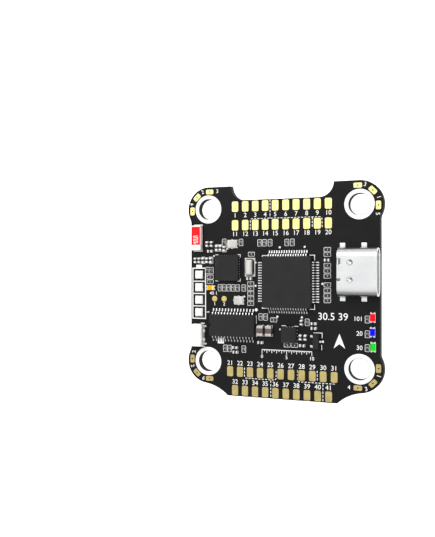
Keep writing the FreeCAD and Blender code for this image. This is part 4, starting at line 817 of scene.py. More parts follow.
for x, y in UP:
    ink.strip(rrect(x, y, 0.405, 0.645, 0.13, 3), 0.085, Z0, Z1, closed=True)
for x, y in FLAT:
    ink.strip(rrect(x, y, 0.645, 0.405, 0.13, 3), 0.085, Z0, Z1, closed=True)
# ten-millimetre scale
ink.strip([(-3.8, -12.45), (6.2, -12.45)], 0.14, Z0, Z1)
for i in range(21):
    x = -3.8 + 0.5 * i
    ink.strip([(x, -12.45), (x, -12.45 - (0.85 if i % 10 == 0 else 0.6 if i % 2 == 0 else 0.32))], 0.11, Z0, Z1)
ink.done("white_ink", smooth=0)

words = []
fwd_x = [-9.45, -7.3, -5.2, -3.15, -1.1, 1.03, 3.1, 5.2, 7.28, 9.4]
for i, x in enumerate(fwd_x):
    words.append(("%d" % (i + 1), x, 13.85, 0.92, 0))
    words.append(("%d" % (i + 11), x, 10.15, 0.92, 0))
for i in range(11):
    words.append(("%d" % (i + 21), (i - 5) * 2.1, -15.4, 0.92, 0))
for i in range(10):
    words.append(("%d" % (i + 32), (i - 4.5) * 2.1, -19.1, 0.92, 0))
for (x, y, a), n in zip([(-18.9, 16.35, 75), (-16.5, 18.75, 15), (-13.3, 18.8, 0), (16.3, 18.85, -15), (18.8, 16.4, -75),
                         (18.6, 13.35, -90), (-18.4, -13.5, 90), (-18.75, -16.4, -75), (-16.3, -18.75, -20),
                         (18.85, -16.35, 75), (16.5, -18.85, 15), (13.3, -18.75, 0)],
                        "423315226134"):
    words.append((n, x, y, 0.8, a))
for n_, x, y in (("101", 15.0, -6.0), ("20", 15.25, -8.7), ("30", 15.25, -11.35)):
    words.append((n_, x, y, 0.86, 0))
words.append(("40 1", -14.1, -1.6, 0.7, 0))
words.append(("1", -13.85, -3.75, 0.7, 0))
words.append(("2", -11.8, -3.75, 0.7, 0))
words.append(("5", -15.3, -5.4, 0.6, 90))
words.append(("30.5 39", 10.25, -5.75, 1.42, 0, 1.0))
words.append(("0", -3.8, -13.8, 0.7, 0))
words.append(("5", 1.2, -13.8, 0.7, 0))
words.append(("10", 6.2, -13.8, 0.7, 0))
text_mesh("ink_figures", words)

# =====================================================================
# helpers for the small parts
# =====================================================================
class At:
    """A local frame on the board: u runs outward, v across, h away from the board."""

    def __init__(self, x, y, z, dx=1.0, dy=0.0, up=1):
        self.x, self.y, self.z, self.dx, self.dy, self.up = x, y, z, dx, dy, up

    def p(self, u, v, h):
        return (self.x + self.dx * u - self.dy * v, self.y + self.dy * u + self.dx * v, self.z + self.up * h)


def lump(B, A, cu, cv, hu, hv, corner, levels, seg=3):
    """A stack of rounded rectangles: levels are (height, inset)."""
    B.loops([[A.p(u, v, h) for u, v in rrect(cu, cv, hu - k, hv - k, max(corner - k * 0.6, 0.004), seg)] for h, k in levels])


def soft_levels(h0, h1, r, low=0.0, seg=3):
    out = [(h0 + low * (1 - math.cos(math.pi / 2 * i / seg)), low * (1 - math.sin(math.pi / 2 * i / seg)))
           for i in range(seg + 1)] if low else [(h0, 0.0)]
    return out + [(h1 - r * (1 - math.sin(math.pi / 2 * i / seg)), r * (1 - math.cos(math.pi / 2 * i / seg)))
                  for i in range(seg + 1)]


def profile(B, A, pts, v0, v1):
    """An outline in (u, h) drawn out across v."""
    B.loops([[A.p(u, v, h) for u, h in pts] for v in (v0, v1)])


def bev_rect(w, k, c):
    a, b = w / 2, k / 2
    return [(-a + c, -b), (a - c, -b), (a, -b + c), (a, b - c), (a - c, b), (-a + c, b), (-a, b - c), (-a, -b + c)]


def sweep(B, A, path, sect):
    """A section (v, normal) carried along a path in (u, h)."""
    n = len(path)
    rings = []
    for i in range(n):
        a, b = path[max(i - 1, 0)], path[min(i + 1, n - 1)]
        l = math.hypot(b[0] - a[0], b[1] - a[1])
        nu, nh = -(b[1] - a[1]) / l, (b[0] - a[0]) / l
        rings.append([A.p(path[i][0] + nu * t, v, path[i][1] + nh * t) for v, t in sect])
    B.loops(rings)


def gull(B, A, reach, foot, k, zs, wide, r=0.13, start=-0.05):
    knee = (reach - foot) * 0.45
    key = [(start, zs), (knee + 0.02, zs), (reach - foot + 0.06, k / 2), (reach, k / 2)]
    path = [key[0]]
    for i in (1, 2):
        p0, p1, p2 = key[i - 1], key[i], key[i + 1]
        d0, d2 = math.hypot(p1[0] - p0[0], p1[1] - p0[1]), math.hypot(p1[0] - p2[0], p1[1] - p2[1])
        q = min(r, d0 * 0.45, d2 * 0.45)
        a = (p1[0] + (p0[0] - p1[0]) * q / d0, p1[1] + (p0[1] - p1[1]) * q / d0)
        b = (p1[0] + (p2[0] - p1[0]) * q / d2, p1[1] + (p2[1] - p1[1]) * q / d2)
        for t in (0.0, 0.25, 0.5, 0.75, 1.0):
            path.append(tuple((1 - t) ** 2 * a[j] + 2 * t * (1 - t) * p1[j] + t * t * b[j] for j in (0, 1)))
    path.append(key[3])
    sweep(B, A, path, bev_rect(wide, k, 0.02))


def foot_solder(B, A, reach, foot, wide):
    """The tinned land under a foot and the fillet at its toe."""
    lump(B, A, reach - foot / 2 + 0.07, 0, foot / 2 + 0.05, wide / 2 + 0.012, 0.04, [(0, 0), (0.02, 0.0), (0.03, 0.01)])
    profile(B, A, [(reach - 0.03, 0.0), (reach + 0.11, 0.0), (reach + 0.1, 0.03), (reach + 0.05, 0.05), (reach + 0.02, 0.08),
                   (reach - 0.03, 0.1)], -wide / 2 + 0.02, wide / 2 - 0.02)


def top_dimples(B, ring, dimples, z, up=1):
    """Closes a ring of vertices, leaving shallow round dimples: (x, y, radius, depth)."""
    n = len(ring)
    edges = []
    for i in range(n):
        e = B.bm.edges.get((ring[i], ring[(i + 1) % n]))
        edges.append(e or B.bm.edges.new((ring[i], ring[(i + 1) % n])))
    for x, y, r, depth in dimples:
        seg = 28
        rings = []
        for rr, dd in ((r, 0.0), (r * 0.93, depth * 0.55), (r * 0.8, depth * 0.92), (r * 0.6, depth)):
            rings.append([B.bm.verts.new(P(x + rr * math.cos(2 * math.pi * i / seg), y + rr * math.sin(2 * math.pi * i / seg),
                                           z - up * dd)) for i in range(seg)])
        for a, b in zip(rings, rings[1:]):
            for i in range(seg):
                B.bm.faces.new((a[i], a[(i + 1) % seg], b[(i + 1) % seg], b[i]))
        B.bm.faces.new(rings[-1])
        for i in range(seg):
            edges.append(B.bm.edges.get((rings[0][i], rings[0][(i + 1) % seg])))
    bmesh.ops.triangle_fill(B.bm, use_beauty=True, use_dissolve=False, edges=edges)


def mould(B, cx, cy, hx, hy, z0, z1, zp, draft=0.1, r=0.05, corner=0.08, dimples=(), up=1, bite=None):
    """A moulded package: drafted sides meeting at a parting line, rounded edges,
    dimples in its face. z0 is the side towards the board."""
    s = up
    lev = [(z0, draft + r * 0.6), (z0 + s * r * 0.6, draft), (zp - s * 0.012, 0.012), (zp - s * 0.012, 0.0), (zp + s * 0.012, 0.0),
           (zp + s * 0.012, 0.012)]
    top = draft
    for i in range(4):
        a = math.pi / 2 * i / 3
        lev.append((z1 - s * r * (1 - math.sin(a)), top + r * (1 - math.cos(a))))

    def outline(k):
        pts = rrect(cx, cy, hx - k, hy - k, max(corner - k * 0.5, 0.01), 3)
        if bite:
            # a half-round notch moulded into the -X end
            out = []
            for i, q in enumerate(pts):
                out.append(q)
            nb = 10
            x = cx - hx + k
            j = max(range(len(out)), key=lambda i: (abs(out[i][0] - x) < 1e-6 and out[i][1] > cy, -out[i][1]))
            arcp = [(x + bite * math.sin(math.pi * t / nb), cy + bite * math.cos(math.pi * t / nb)) for t in range(nb + 1)]
            out = out[:j + 1] + arcp + out[j + 1:]
            return out
        return pts

    rings = [[B.bm.verts.new(P(x, y, z)) for x, y in outline(k)] for z, k in lev]
    n = len(rings[0])
    for a, b in zip(rings, rings[1:]):
        for i in range(n):
            B.bm.faces.new((a[i], a[(i + 1) % n], b[(i + 1) % n], b[i]))
    B.bm.faces.new(rings[0][::-1])
    top_dimples(B, rings[-1], dimples, z1, up)


def bitten(cx, cy, hx, hy, corner=0.0, mx=0.0, my=0.0, seg=6):
    """A rectangle with quarter-round bites at its corners (radius corner) and
    half-round bites at the middle of its X ends (mx) and Y ends (my)."""
    pts = []
    # start on the +X side, going counter-clockwise
    def bite(px, py, r, a0, a1):
        for i in range(seg + 1):
            a = math.radians(a0 + (a1 - a0) * i / seg)
            pts.append((px + r * math.cos(a), py + r * math.sin(a)))
    if mx:
        bite(cx + hx, cy, mx, 270, 90)
    if corner:
        bite(cx + hx, cy + hy, corner, 270, 180)
    else:
        pts.append((cx + hx, cy + hy))
    if my:
        bite(cx, cy + hy, my, 360, 180)
    if corner:
        bite(cx - hx, cy + hy, corner, 0, -90)
    else:
        pts.append((cx - hx, cy + hy))
    if mx:
        bite(cx - hx, cy, mx, 90, -90)
    if corner:
        bite(cx - hx, cy - hy, corner, 90, 0)
    else:
        pts.append((cx - hx, cy - hy))
    if my:
        bite(cx, cy - hy, my, 180, 0)
    if corner:
        bite(cx + hx, cy - hy, corner, 180, 90)
    else:
        pts.append((cx + hx, cy - hy))
    return pts


def centre(box):
    return tuple((box[0][i] + box[1][i]) / 2 for i in range(3))


def pair(bodies, ends):
    """Each end cap with the outward direction from the body it belongs to."""
    out = []
    cs = [centre(b) for b in bodies]
    for e in ends:
        c = centre(e)
        b = min(cs, key=lambda q: (q[0] - c[0]) ** 2 + (q[1] - c[1]) ** 2 + (q[2] - c[2]) ** 2 * 4)
        dx, dy = c[0] - b[0], c[1] - b[1]
        if abs(dx) > abs(dy):
            out.append((e, math.copysign(1.0, dx), 0.0))
        else:
            out.append((e, 0.0, math.copysign(1.0, dy)))
    return out


def end_cap(B, e, dx, dy, lip=0.006, r=0.05, fillet=0.14, climb=0.5):
    """A plated end cap; the solder on its land is drawn by end_solder."""
    (x0, y0, z0), (x1, y1, z1) = e
    up = 1 if z0 > 0.5 else -1
    zf, high = (z0, z1 - z0) if up > 0 else (z1, z1 - z0)
    if dx:
        length, wide = x1 - x0, y1 - y0
    else:
        length, wide = y1 - y0, x1 - x0
    cx, cy = (x0 + x1) / 2, (y0 + y1) / 2
    A = At(cx - dx * length / 2, cy - dy * length / 2, zf, dx, dy, up)
    r = min(r, length * 0.4, high * 0.3)
    lump(B, A, length / 2 - 0.01, 0, length / 2 + 0.01, wide / 2 + lip, r, soft_levels(0.0, high + lip, r, 0.02))
    return A, length, wide, high


def end_solder(B, A, length, wide, high, fillet=0.14, climb=0.45):
    lump(B, A, length / 2 + fillet * 0.55, 0, length / 2 + fillet * 0.75, wide / 2 + 0.03, 0.05, [(0, 0), (0.022, 0.0), (0.036, 0.016)])
    n = 5
    pts = [(length - 0.03, 0.0), (length + fillet, 0.0)]
    for i in range(n + 1):
        a = math.pi / 2 * i / n
        pts.append((length + fillet * (1 - math.sin(a)), 0.03 + (high * climb) * (1 - math.cos(a))))
    pts.append((length - 0.03, 0.03 + high * climb))
    profile(B, A, pts, -wide / 2 + 0.02, wide / 2 - 0.02)


# =====================================================================
# relief of the copper under the mask: traces, covered vias, mask edges
# =====================================================================
top_nodes = ["usb_c_shell", "usb_c_leg_solder", "main_processor_leads", "main_processor_body", "wireless_chip_body",
             "overlay_chip_body", "overlay_chip_leads", "motion_sensor_chip", "regulator_body", "regulator_leads",
             "crystal_bases", "antenna_body", "antenna_terminals", "battery_lamp_bases", "lamp_terminals",
             "status_lamp_red", "status_lamp_blue", "status_lamp_green", "status_lamp_orange", "large_capacitor_bodies",
             "large_capacitor_terminals", "chip_resistor_bodies", "chip_capacitor_bodies", "chip_terminals",
             "boot_switch_housing", "boot_switch_terminals", "solder_pads_forward", "solder_pads_rear", "led_strip_pads",
             "test_pads"]
low_nodes = ["motor_link_socket_housing", "motor_link_socket_pins", "video_socket_housing", "video_socket_pins",
             "socket_anchor_tabs", "card_socket_cover", "card_socket_contacts", "inductor_bodies", "inductor_terminals",
             "buck_converter_bodies", "buck_converter_leads", "bulk_capacitor_bodies", "bulk_capacitor_terminals",
             "input_diode_body", "input_diode_terminals", "air_pressure_sensor_base", "underside_chip_bodies",
             "chip_terminals", "solder_pads_underside"]
ISLAND = {}


def boxes(node):
    if node not in ISLAND:
        ISLAND[node] = islands(node)
    return ISLAND[node]


EDGE = board_outline()


def inside(x, y, m):
    """True when a point is on the board and m clear of its edge and the holes."""
    hit = False
    n = len(EDGE)
    for i in range(n):
        (ax, ay), (bx, by) = EDGE[i], EDGE[(i + 1) % n]
        if (ay > y) != (by > y) and x < (bx - ax) * (y - ay) / (by - ay) + ax:
            hit = not hit
        l2 = (bx - ax) ** 2 + (by - ay) ** 2
        t = max(0.0, min(1.0, ((x - ax) * (bx - ax) + (y - ay) * (by - ay)) / l2)) if l2 else 0
        if math.hypot(x - ax - t * (bx - ax), y - ay - t * (by - ay)) < m:
            return False
    for sx in (1, -1):
        for sy in (1, -1):
            if math.hypot(x - sx * HALF, y - sy * HALF) < 3.1 + m:
                return False
    return hit


def keep_out(nodes, under):
    out = []
    for n in nodes:
        for lo, hi in boxes(n):
            if (lo[2] < 0.5) == under:
                out.append((lo[0], lo[1], hi[0], hi[1]))
    return out


def clear(x, y, m, blocks):
    for x0, y0, x1, y1 in blocks:
        if x0 - m < x < x1 + m and y0 - m < y < y1 + m:
            return False
    return inside(x, y, m)


def relief(name, nodes, under, count, runs, seed):
    rnd = random.Random(seed)
    B = Build(name)
    blocks = keep_out(nodes, under)
    z, up = (0.0, -1) if under else (T, 1)
    zb = z - up * 0.003
    spots = []
    tries = 0
    while len(spots) < count and tries < 6000:
        tries += 1
        x, y = rnd.uniform(-18.5, 18.5), rnd.uniform(-20.5, 18.5)
        if not clear(x, y, 0.42, blocks):
            continue
        if any(math.hypot(x - a, y - b) < 0.8 for a, b in spots):
            continue
        spots.append((x, y))
    for x, y in spots:
        rings = []
        for r, h in ((0.26, -0.003), (0.245, 0.011), (0.17, 0.014), (0.1, 0.006), (0.05, 0.002)):
            rings.append([(x + r * math.cos(2 * math.pi * i / 14), y + r * math.sin(2 * math.pi * i / 14), z + up * h)
                          for i in range(14)])
        B.loops(rings)
    # traces run from via to via with 45 degree corners, where nothing is in the way
    made = 0
    order = list(range(len(spots)))
    for i in order:
        if made >= runs:
            break
        x, y = spots[i]
        near = sorted(range(len(spots)), key=lambda j: math.hypot(spots[j][0] - x, spots[j][1] - y))[1:6]
        for j in near:
            if j < i:
                continue
            a, b = spots[j]
            dx, dy = a - x, b - y
            if math.hypot(dx, dy) > 6.5:
                continue
            if abs(dx) > abs(dy):
                mid = (x + dx - math.copysign(abs(dy), dx), y)
            else:
                mid = (x, y + dy - math.copysign(abs(dx), dy))
            path = [(x, y), mid, (a, b)]
            good = True
            for p, q in zip(path, path[1:]):
                m = max(2, int(math.hypot(q[0] - p[0], q[1] - p[1]) / 0.25))
                for k in range(m + 1):
                    if not clear(p[0] + (q[0] - p[0]) * k / m, p[1] + (q[1] - p[1]) * k / m, 0.14, blocks):
                        good = False
                        break
                if not good:
                    break
            if good and math.hypot(mid[0] - x, mid[1] - y) > 0.3 and math.hypot(mid[0] - a, mid[1] - b) > 0.3:
                w = rnd.choice((0.13, 0.16, 0.22))
                cut = []
                for p, q in ((path[0], mid), (path[2], mid)):
                    l = math.hypot(q[0] - p[0], q[1] - p[1])
                    cut.append((p[0] + (q[0] - p[0]) * 0.2 / l, p[1] + (q[1] - p[1]) * 0.2 / l))
                path = [cut[0], mid, cut[1]]
                rise = 0.0075 + 0.00006 * made
                if under:
                    B.strip(path, w, -rise, 0.003)
                else:
                    B.strip(path, w, T - 0.003, T + rise)
                made += 1
                break
    # the mask stands a little proud round every pad
    pads = (["solder_pads_underside"] if under else ["solder_pads_forward", "solder_pads_rear"])
    for n in pads:
        for lo, hi in boxes(n):
            cx, cy = (lo[0] + hi[0]) / 2, (lo[1] + hi[1]) / 2
            w, d = (hi[0] - lo[0]) / 2, (hi[1] - lo[1]) / 2
            pts = rrect(cx, cy, w + 0.1, d + 0.1, 0.36, 4)
            if under:
                B.strip(pts, 0.1, -0.02, 0.003, closed=True)
            else:
                B.strip(pts, 0.1, T - 0.003, T + 0.02, closed=True)
    B.done("solder_mask", smooth=40)


relief("relief_component_side", top_nodes, False, 120, 70, 11)
relief("relief_underside", low_nodes, True, 150, 90, 23)

# =====================================================================
# pads
# =====================================================================
def make_pads(name, node, material, r=0.02, corner=0.3):
    B = Build(name)
    for lo, hi in boxes(node):
        up = 1 if lo[2] > 0.5 else -1
        z = lo[2] if up > 0 else hi[2]
        A = At((lo[0] + hi[0]) / 2, (lo[1] + hi[1]) / 2, z, 1, 0, up)
        lump(B, A, 0, 0, (hi[0] - lo[0]) / 2, (hi[1] - lo[1]) / 2, corner, soft_levels(0.0, hi[2] - lo[2], r, 0.0, 3), 5)
    B.done(material, replaces=(node,), slot=None)


make_pads("pads_forward", "solder_pads_forward", "gold_pad")
make_pads("pads_rear", "solder_pads_rear", "tan_pad")
make_pads("pads_underside", "solder_pads_underside", "gold_pad", 0.02, 0.25)
make_pads("pads_test", "test_pads", "test_gold", 0.02, 0.55)
B = Build("pads_strip")
V = Build("pads_strip_vias")
R_ = Build("pads_strip_rear")
for x, y, a in ((-14.95, 18.75, 0), (-17.72, 17.72, 45), (-18.75, 14.95, 90), (14.95, 18.75, 0), (17.72, 17.72, -45),
                (18.75, 14.95, 90), (-18.75, -14.95, 90), (-17.72, -17.72, -45), (-14.95, -18.75, 0),
                (18.75, -14.95, 90), (17.72, -17.72, 45), (14.95, -18.75, 0)):
    c, s_ = math.cos(math.radians(a)), math.sin(math.radians(a))
    A = At(x, y, T, c, s_)
    # pads on the rear half take the darker gold: painted shade
    Q = B if y > 0 else R_
    lump(Q, A, 0, 0, 0.8, 0.475, 0.25, soft_levels(0.0, 0.05, 0.02, 0.0, 3), 5)
    # plated hole: a raised rim round a dark eye; the eye is a disc of painted shade standing for the hole, as the board
    # is not drilled there
    Q.ring(x, y, 0.15, 0.21, T + 0.045, T + 0.058, 20)
    V.disc(x, y, 0.155, T + 0.03, T + 0.053, 20)
B.done("gold_pad", replaces=("led_strip_pads",))
R_.done("tan_pad")
V.done("dark_glaze")

# =====================================================================
# moulded chips and their leads
# =====================================================================
mcx, mcy = 1.5, 0.73
B = Build("processor_mould")
mould(B, mcx, mcy, 5.0, 5.0, T + 0.1, T + 1.5, T + 0.78, 0.14, 0.05, 0.22,
      [(mcx - 4.03, mcy + 3.76, 0.42, 0.045), (mcx + 3.6, mcy - 3.6, 0.75, 0.012)])
B.done("epoxy", replaces=("main_processor_body",))
B, S = Build("processor_leads"), Build("processor_lead_solder")
for lo, hi in boxes("main_processor_leads"):
    cx, cy = (lo[0] + hi[0]) / 2 - mcx, (lo[1] + hi[1]) / 2 - mcy
    if abs(cx) > abs(cy):
        d = math.copysign(1.0, cx)
        A = At(mcx + d * 5.0, mcy + cy, T, d, 0)
    else:
        d = math.copysign(1.0, cy)
        A = At(mcx + cx, mcy + d * 5.0, T, 0, d)
    gull(B, A, 1.0, 0.44, 0.13, 0.78, 0.22)
    foot_solder(S, A, 1.0, 0.44, 0.22)
    # the rear row, leads and solder, takes darker copies of the tin and solder: painted shade
    B.tag(1 if cy < -4.9 else 0)
    S.tag(1 if cy < -4.9 else 0)
B.done(["lead_tin", "lead_tin_painted_shade"], replaces=("main_processor_leads",))
S.done(["solder", "dark_tin"])

ox, oy = -9.85, -7.93
B = Build("overlay_mould")
mould(B, ox, oy, 4.85, 2.2, T + 0.1, T + 1.15, T + 0.6, 0.1, 0.045, 0.1, [(ox + 4.2, oy + 1.62, 0.3, 0.04)], bite=0.42)
B.done("epoxy", replaces=("overlay_chip_body",))
B, S = Build("overlay_leads"), Build("overlay_lead_solder")
for lo, hi in boxes("overlay_chip_leads"):
    cx, cy = (lo[0] + hi[0]) / 2, (lo[1] + hi[1]) / 2 - oy
    d = math.copysign(1.0, cy)
    A = At(cx, oy + d * 2.2, T, 0, d)
    gull(B, A, 1.0, 0.44, 0.13, 0.6, 0.22)
    foot_solder(S, A, 1.0, 0.44, 0.22)
    # the rear row takes the darker copies of the tin and solder: painted shade
    B.tag(1 if cy < 0 else 0)
    S.tag(1 if cy < 0 else 0)
B.done(["lead_tin", "lead_tin_painted_shade"], replaces=("overlay_chip_leads",))
S.done(["solder", "dark_tin"])

rx_, ry_ = 7.2, -10.45
B = Build("regulator_mould")
mould(B, rx_, ry_, 0.65, 1.45, T + 0.1, T + 1.1, T + 0.6, 0.09, 0.045, 0.06, [(rx_ - 0.25, ry_ + 1.05, 0.12, 0.02)])
B.done("dark_epoxy", replaces=("regulator_body",))
B, S = Build("regulator_lead_set"), Build("regulator_lead_solder")
for lo, hi in boxes("regulator_leads"):
    d = math.copysign(1.0, (lo[0] + hi[0]) / 2 - rx_)
    A = At(rx_ + d * 0.65, (lo[1] + hi[1]) / 2, T, d, 0)
    gull(B, A, 0.55, 0.3, 0.13, 0.55, 0.4, 0.09)
    foot_solder(S, A, 0.55, 0.3, 0.4)
B.done("tin", replaces=("regulator_leads",))
S.done("solder")

# buck converters, underneath
B = Build("buck_moulds")
for lo, hi in boxes("buck_converter_bodies"):
    c = centre((lo, hi))
    mould(B, c[0], c[1], (hi[0] - lo[0]) / 2, (hi[1] - lo[1]) / 2, hi[2], lo[2], -0.6, 0.09, 0.045, 0.06,
          [(c[0] - 0.4, c[1] + 1.05, 0.16, 0.03)], up=-1)
B.done("dark_epoxy", replaces=("buck_converter_bodies",))
B, S = Build("buck_leads"), Build("buck_lead_solder")
bb = [centre(b) for b in boxes("buck_converter_bodies")]
for lo, hi in boxes("buck_converter_leads"):
    c = centre((lo, hi))
    q = min(bb, key=lambda k: abs(k[0] - c[0]))
    d = math.copysign(1.0, c[0] - q[0])
    A = At(q[0] + d * 0.8, c[1], 0.0, d, 0, -1)
    gull(B, A, 0.55, 0.3, 0.13, 0.55, 0.38, 0.09)
    foot_solder(S, A, 0.55, 0.3, 0.38)
B.done("tin", replaces=("buck_converter_leads",))
S.done("solder")

# wireless chip: a sawn leadless package on its plated lands
wx, wy = -11.0, 3.5
B = Build("wireless_mould")
lev = [(T + 0.03, 0.0), (T + 0.2, 0.0), (T + 0.2, 0.012), (T + 0.22, 0.012), (T + 0.22, 0.0), (T + 0.82, 0.0), (T + 0.84, 0.01),
       (T + 0.85, 0.03)]
rings = [[B.bm.verts.new(P(x, y, z)) for x, y in rrect(wx, wy, 2.5 - k, 2.5 - k, 0.05, 2)] for z, k in lev]
n = len(rings[0])
for a, b in zip(rings, rings[1:]):
    for i in range(n):
        B.bm.faces.new((a[i], a[(i + 1) % n], b[(i + 1) % n], b[i]))
B.bm.faces.new(rings[0][::-1])
top_dimples(B, rings[-1], [(wx - 1.95, wy + 1.95, 0.25, 0.02)], T + 0.85)
B.done("dark_epoxy", replaces=("wireless_chip_body",))
B, S = Build("wireless_lands"), Build("wireless_solder")
for lo, hi in boxes("wireless_chip_leadframe"):
    c = centre((lo, hi))
    cx, cy = c[0] - wx, c[1] - wy
    if hi[0] - lo[0] > 2:
        B.rbox((lo[0], lo[1], lo[2]), (hi[0], hi[1], hi[2]), 0.02)
        continue
    if abs(cx) > abs(cy):
        d = math.copysign(1.0, cx)
        A = At(wx + d * 2.5, c[1], T, d, 0)
    else:
        d = math.copysign(1.0, cy)
        A = At(c[0], wy + d * 2.5, T, 0, d)
    lump(B, A, -0.19, 0, 0.2, 0.12, 0.02, soft_levels(0.0, 0.2, 0.02, 0.01))
    profile(S, A, [(-0.02, 0.0), (0.05, 0.0), (0.045, 0.03), (0.02, 0.06), (0.0, 0.1), (-0.02, 0.12)], -0.09, 0.09)
B.done("tin", replaces=("wireless_chip_leadframe",))
S.done("solder")

# motion sensor: a land-grid package, laminate below and mould above
gx, gy = 1.8, -9.4
B = Build("sensor_package")
for z0, z1, k in ((T + 0.03, T + 0.24, 0.0), (T + 0.24, T + 0.85, 0.03)):
    if z0 > T + 0.1:
        lev = [(z0, k), (z1 - 0.04, k), (z1 - 0.012, k + 0.012), (z1, k + 0.04)]
        rings = [[B.bm.verts.new(P(x, y, z)) for x, y in rrect(gx, gy, 1.5 - q, 1.5 - q, 0.05, 2)] for z, q in lev]
        n = len(rings[0])
        for a, b in zip(rings, rings[1:]):
            for i in range(n):
                B.bm.faces.new((a[i], a[(i + 1) % n], b[(i + 1) % n], b[i]))
        B.bm.faces.new(rings[0][::-1])
        top_dimples(B, rings[-1], [(gx - 1.05, gy + 1.05, 0.17, 0.02)], z1)
        B.tag(0)
    else:
        B.rbox((gx - 1.5, gy - 1.5, z0), (gx + 1.5, gy + 1.5, z1), 0.01, 0.03)
        B.tag(1)
B.done(["dark_epoxy", "laminate_edge"], replaces=("motion_sensor_chip",))
S = Build("sensor_solder")
for i in range(4):
    for d in (1, -1):
        lump(S, At(gx + d * 1.5, gy + (i - 1.5) * 0.65, T, d, 0), -0.08, 0, 0.12, 0.12, 0.04, [(0, 0), (0.022, 0.0), (0.03, 0.02)])
for i in range(3):
    for d in (1, -1):
        lump(S, At(gx + (i - 1) * 0.6, gy + d * 1.5, T, 0, d), -0.08, 0, 0.12, 0.12, 0.04, [(0, 0), (0.022, 0.0), (0.03, 0.02)])
S.done("solder")

# =====================================================================
# crystals
# =====================================================================
B, L = Build("crystal_ceramics"), Build("crystal_covers")
S = Build("crystal_solder")
for lo, hi in boxes("crystal_bases"):
    c = centre((lo, hi))
    hx, hy = (hi[0] - lo[0]) / 2, (hi[1] - lo[1]) / 2
    z0, z1 = lo[2], hi[2]
    if hi[1] - lo[1] > 3:
        K = Build("crystal_long_base")
        K.loops([[(x, y, z) for x, y in bitten(c[0], c[1], hx - k, hy - k, 0.17, 0, 0)]
                 for z, k in ((z0 + 0.02, 0.0), (z1 - 0.02, 0.0), (z1, 0.02))])
        K.done("dark_ceramic")
        # weld ring, then the lid with its rolled groove
        L.loops([[(x, y, z) for x, y in rrect(c[0], c[1], hx - k, hy - k, 0.1, 4)]
                 for z, k in ((z1 - 0.01, 0.13), (z1 + 0.13, 0.13), (z1 + 0.15, 0.15))])
        lid = [(z1 + 0.14, 0.16), (z1 + 0.27, 0.16), (z1 + 0.315, 0.185), (z1 + 0.33, 0.21), (z1 + 0.33, 0.25),
               (z1 + 0.27, 0.27), (z1 + 0.27, 0.32), (z1 + 0.34, 0.34), (z1 + 0.35, 0.38)]
        L.loops([[(x, y, z) for x, y in rrect(c[0], c[1], hx - k, hy - k, max(0.14 - k * 0.2, 0.05), 4)] for z, k in lid])
    else:
        B.loops([[(x, y, z) for x, y in bitten(c[0], c[1], hx - k, hy - k, 0.2, 0.0, 0.0)]
                 for z, k in ((z0 + 0.02, 0.0), (z1 - 0.02, 0.0), (z1, 0.02))])
        # ears at the middle of every side
        for ux, uy, hh in ((1, 0, hx), (-1, 0, hx), (0, 1, hy), (0, -1, hy)):
            lump(B, At(c[0] + ux * hh, c[1] + uy * hh, T, ux, uy), 0.0, 0, 0.13, 0.15, 0.07, [(0.0, 0.0), (z1 - T - 0.03, 0.0), (z1 - T, 0.03)])
        L.loops([[(x, y, z) for x, y in bitten(c[0], c[1], hx - k, hy - k, 0.14, 0, 0)]
                 for z, k in ((z1 - 0.01, 0.14), (z1 + 0.11, 0.14), (z1 + 0.14, 0.17), (z1 + 0.15, 0.22))])
    for sx in (1, -1):
        for sy in (1, -1):
            lump(S, At(c[0] + sx * (hx - 0.12), c[1] + sy * (hy - 0.12), T), 0, 0, 0.18, 0.17, 0.06,
                 [(0, 0), (0.03, 0.0), (0.07, 0.04), (0.1, 0.08)])
B.done("alumina", replaces=("crystal_bases",))
L.done("lid_metal", replaces=("crystal_lids",))
S.done("solder")

# =====================================================================
# antenna: glazed ceramic, plated ends, a printed meander
# =====================================================================
(alo, ahi), = boxes("antenna_body")
ac = centre((alo, ahi))
B = Build("antenna_block")
B.rbox((alo[0], alo[1] - 0.02, T + 0.02), (ahi[0] - 0.1, ahi[1] + 0.02, ahi[2]), 0.06, 0.06)
B.tag(0)
B.rbox((ahi[0] - 0.16, alo[1], T + 0.03), (ahi[0], ahi[1], ahi[2] - 0.02), 0.05, 0.05)
B.tag(1)
B.done(["red_glaze", "pink_side"], replaces=("antenna_body",))
B = Build("antenna_ends")
for lo, hi in boxes("antenna_terminals"):
    B.rbox((lo[0] - 0.01, lo[1], T + 0.01), (hi[0] + 0.01, hi[1], hi[2] + 0.01), 0.07, 0.07)
B.done("silver_paste", replaces=("antenna_terminals",))
M = Build("antenna_meander")
mz0, mz1 = ahi[2] - 0.004, ahi[2] + 0.012
ax0, ax1 = alo[0] + 0.45, ahi[0] - 0.6
pts = [(alo[0] + 0.9, alo[1] + 0.1)]
y = alo[1] + 0.45
i = 0
while y < alo[1] + 2.1:
    xa, xb = (ax0, ax1) if i % 2 == 0 else (ax1, ax0)
    pts += [(xa, y), (xb, y)]
    y += 0.33
    i += 1
M.strip(pts, 0.13, mz0, mz1)
M.done("silver_paste")
S = Build("antenna_solder")
for yy, d in ((alo[1] - 1.1, -1), (ahi[1] + 0.3, 1)):
    A = At(ac[0], yy, T, 0, d)
    lump(S, A, 0.02, 0, 0.2, 0.98, 0.08, [(0, 0), (0.03, 0.0), (0.05, 0.02)])
    profile(S, A, [(-0.02, 0), (0.18, 0), (0.18, 0.04), (0.08, 0.1), (0.03, 0.24), (-0.02, 0.4)], -0.9, 0.9)
S.done("solder")

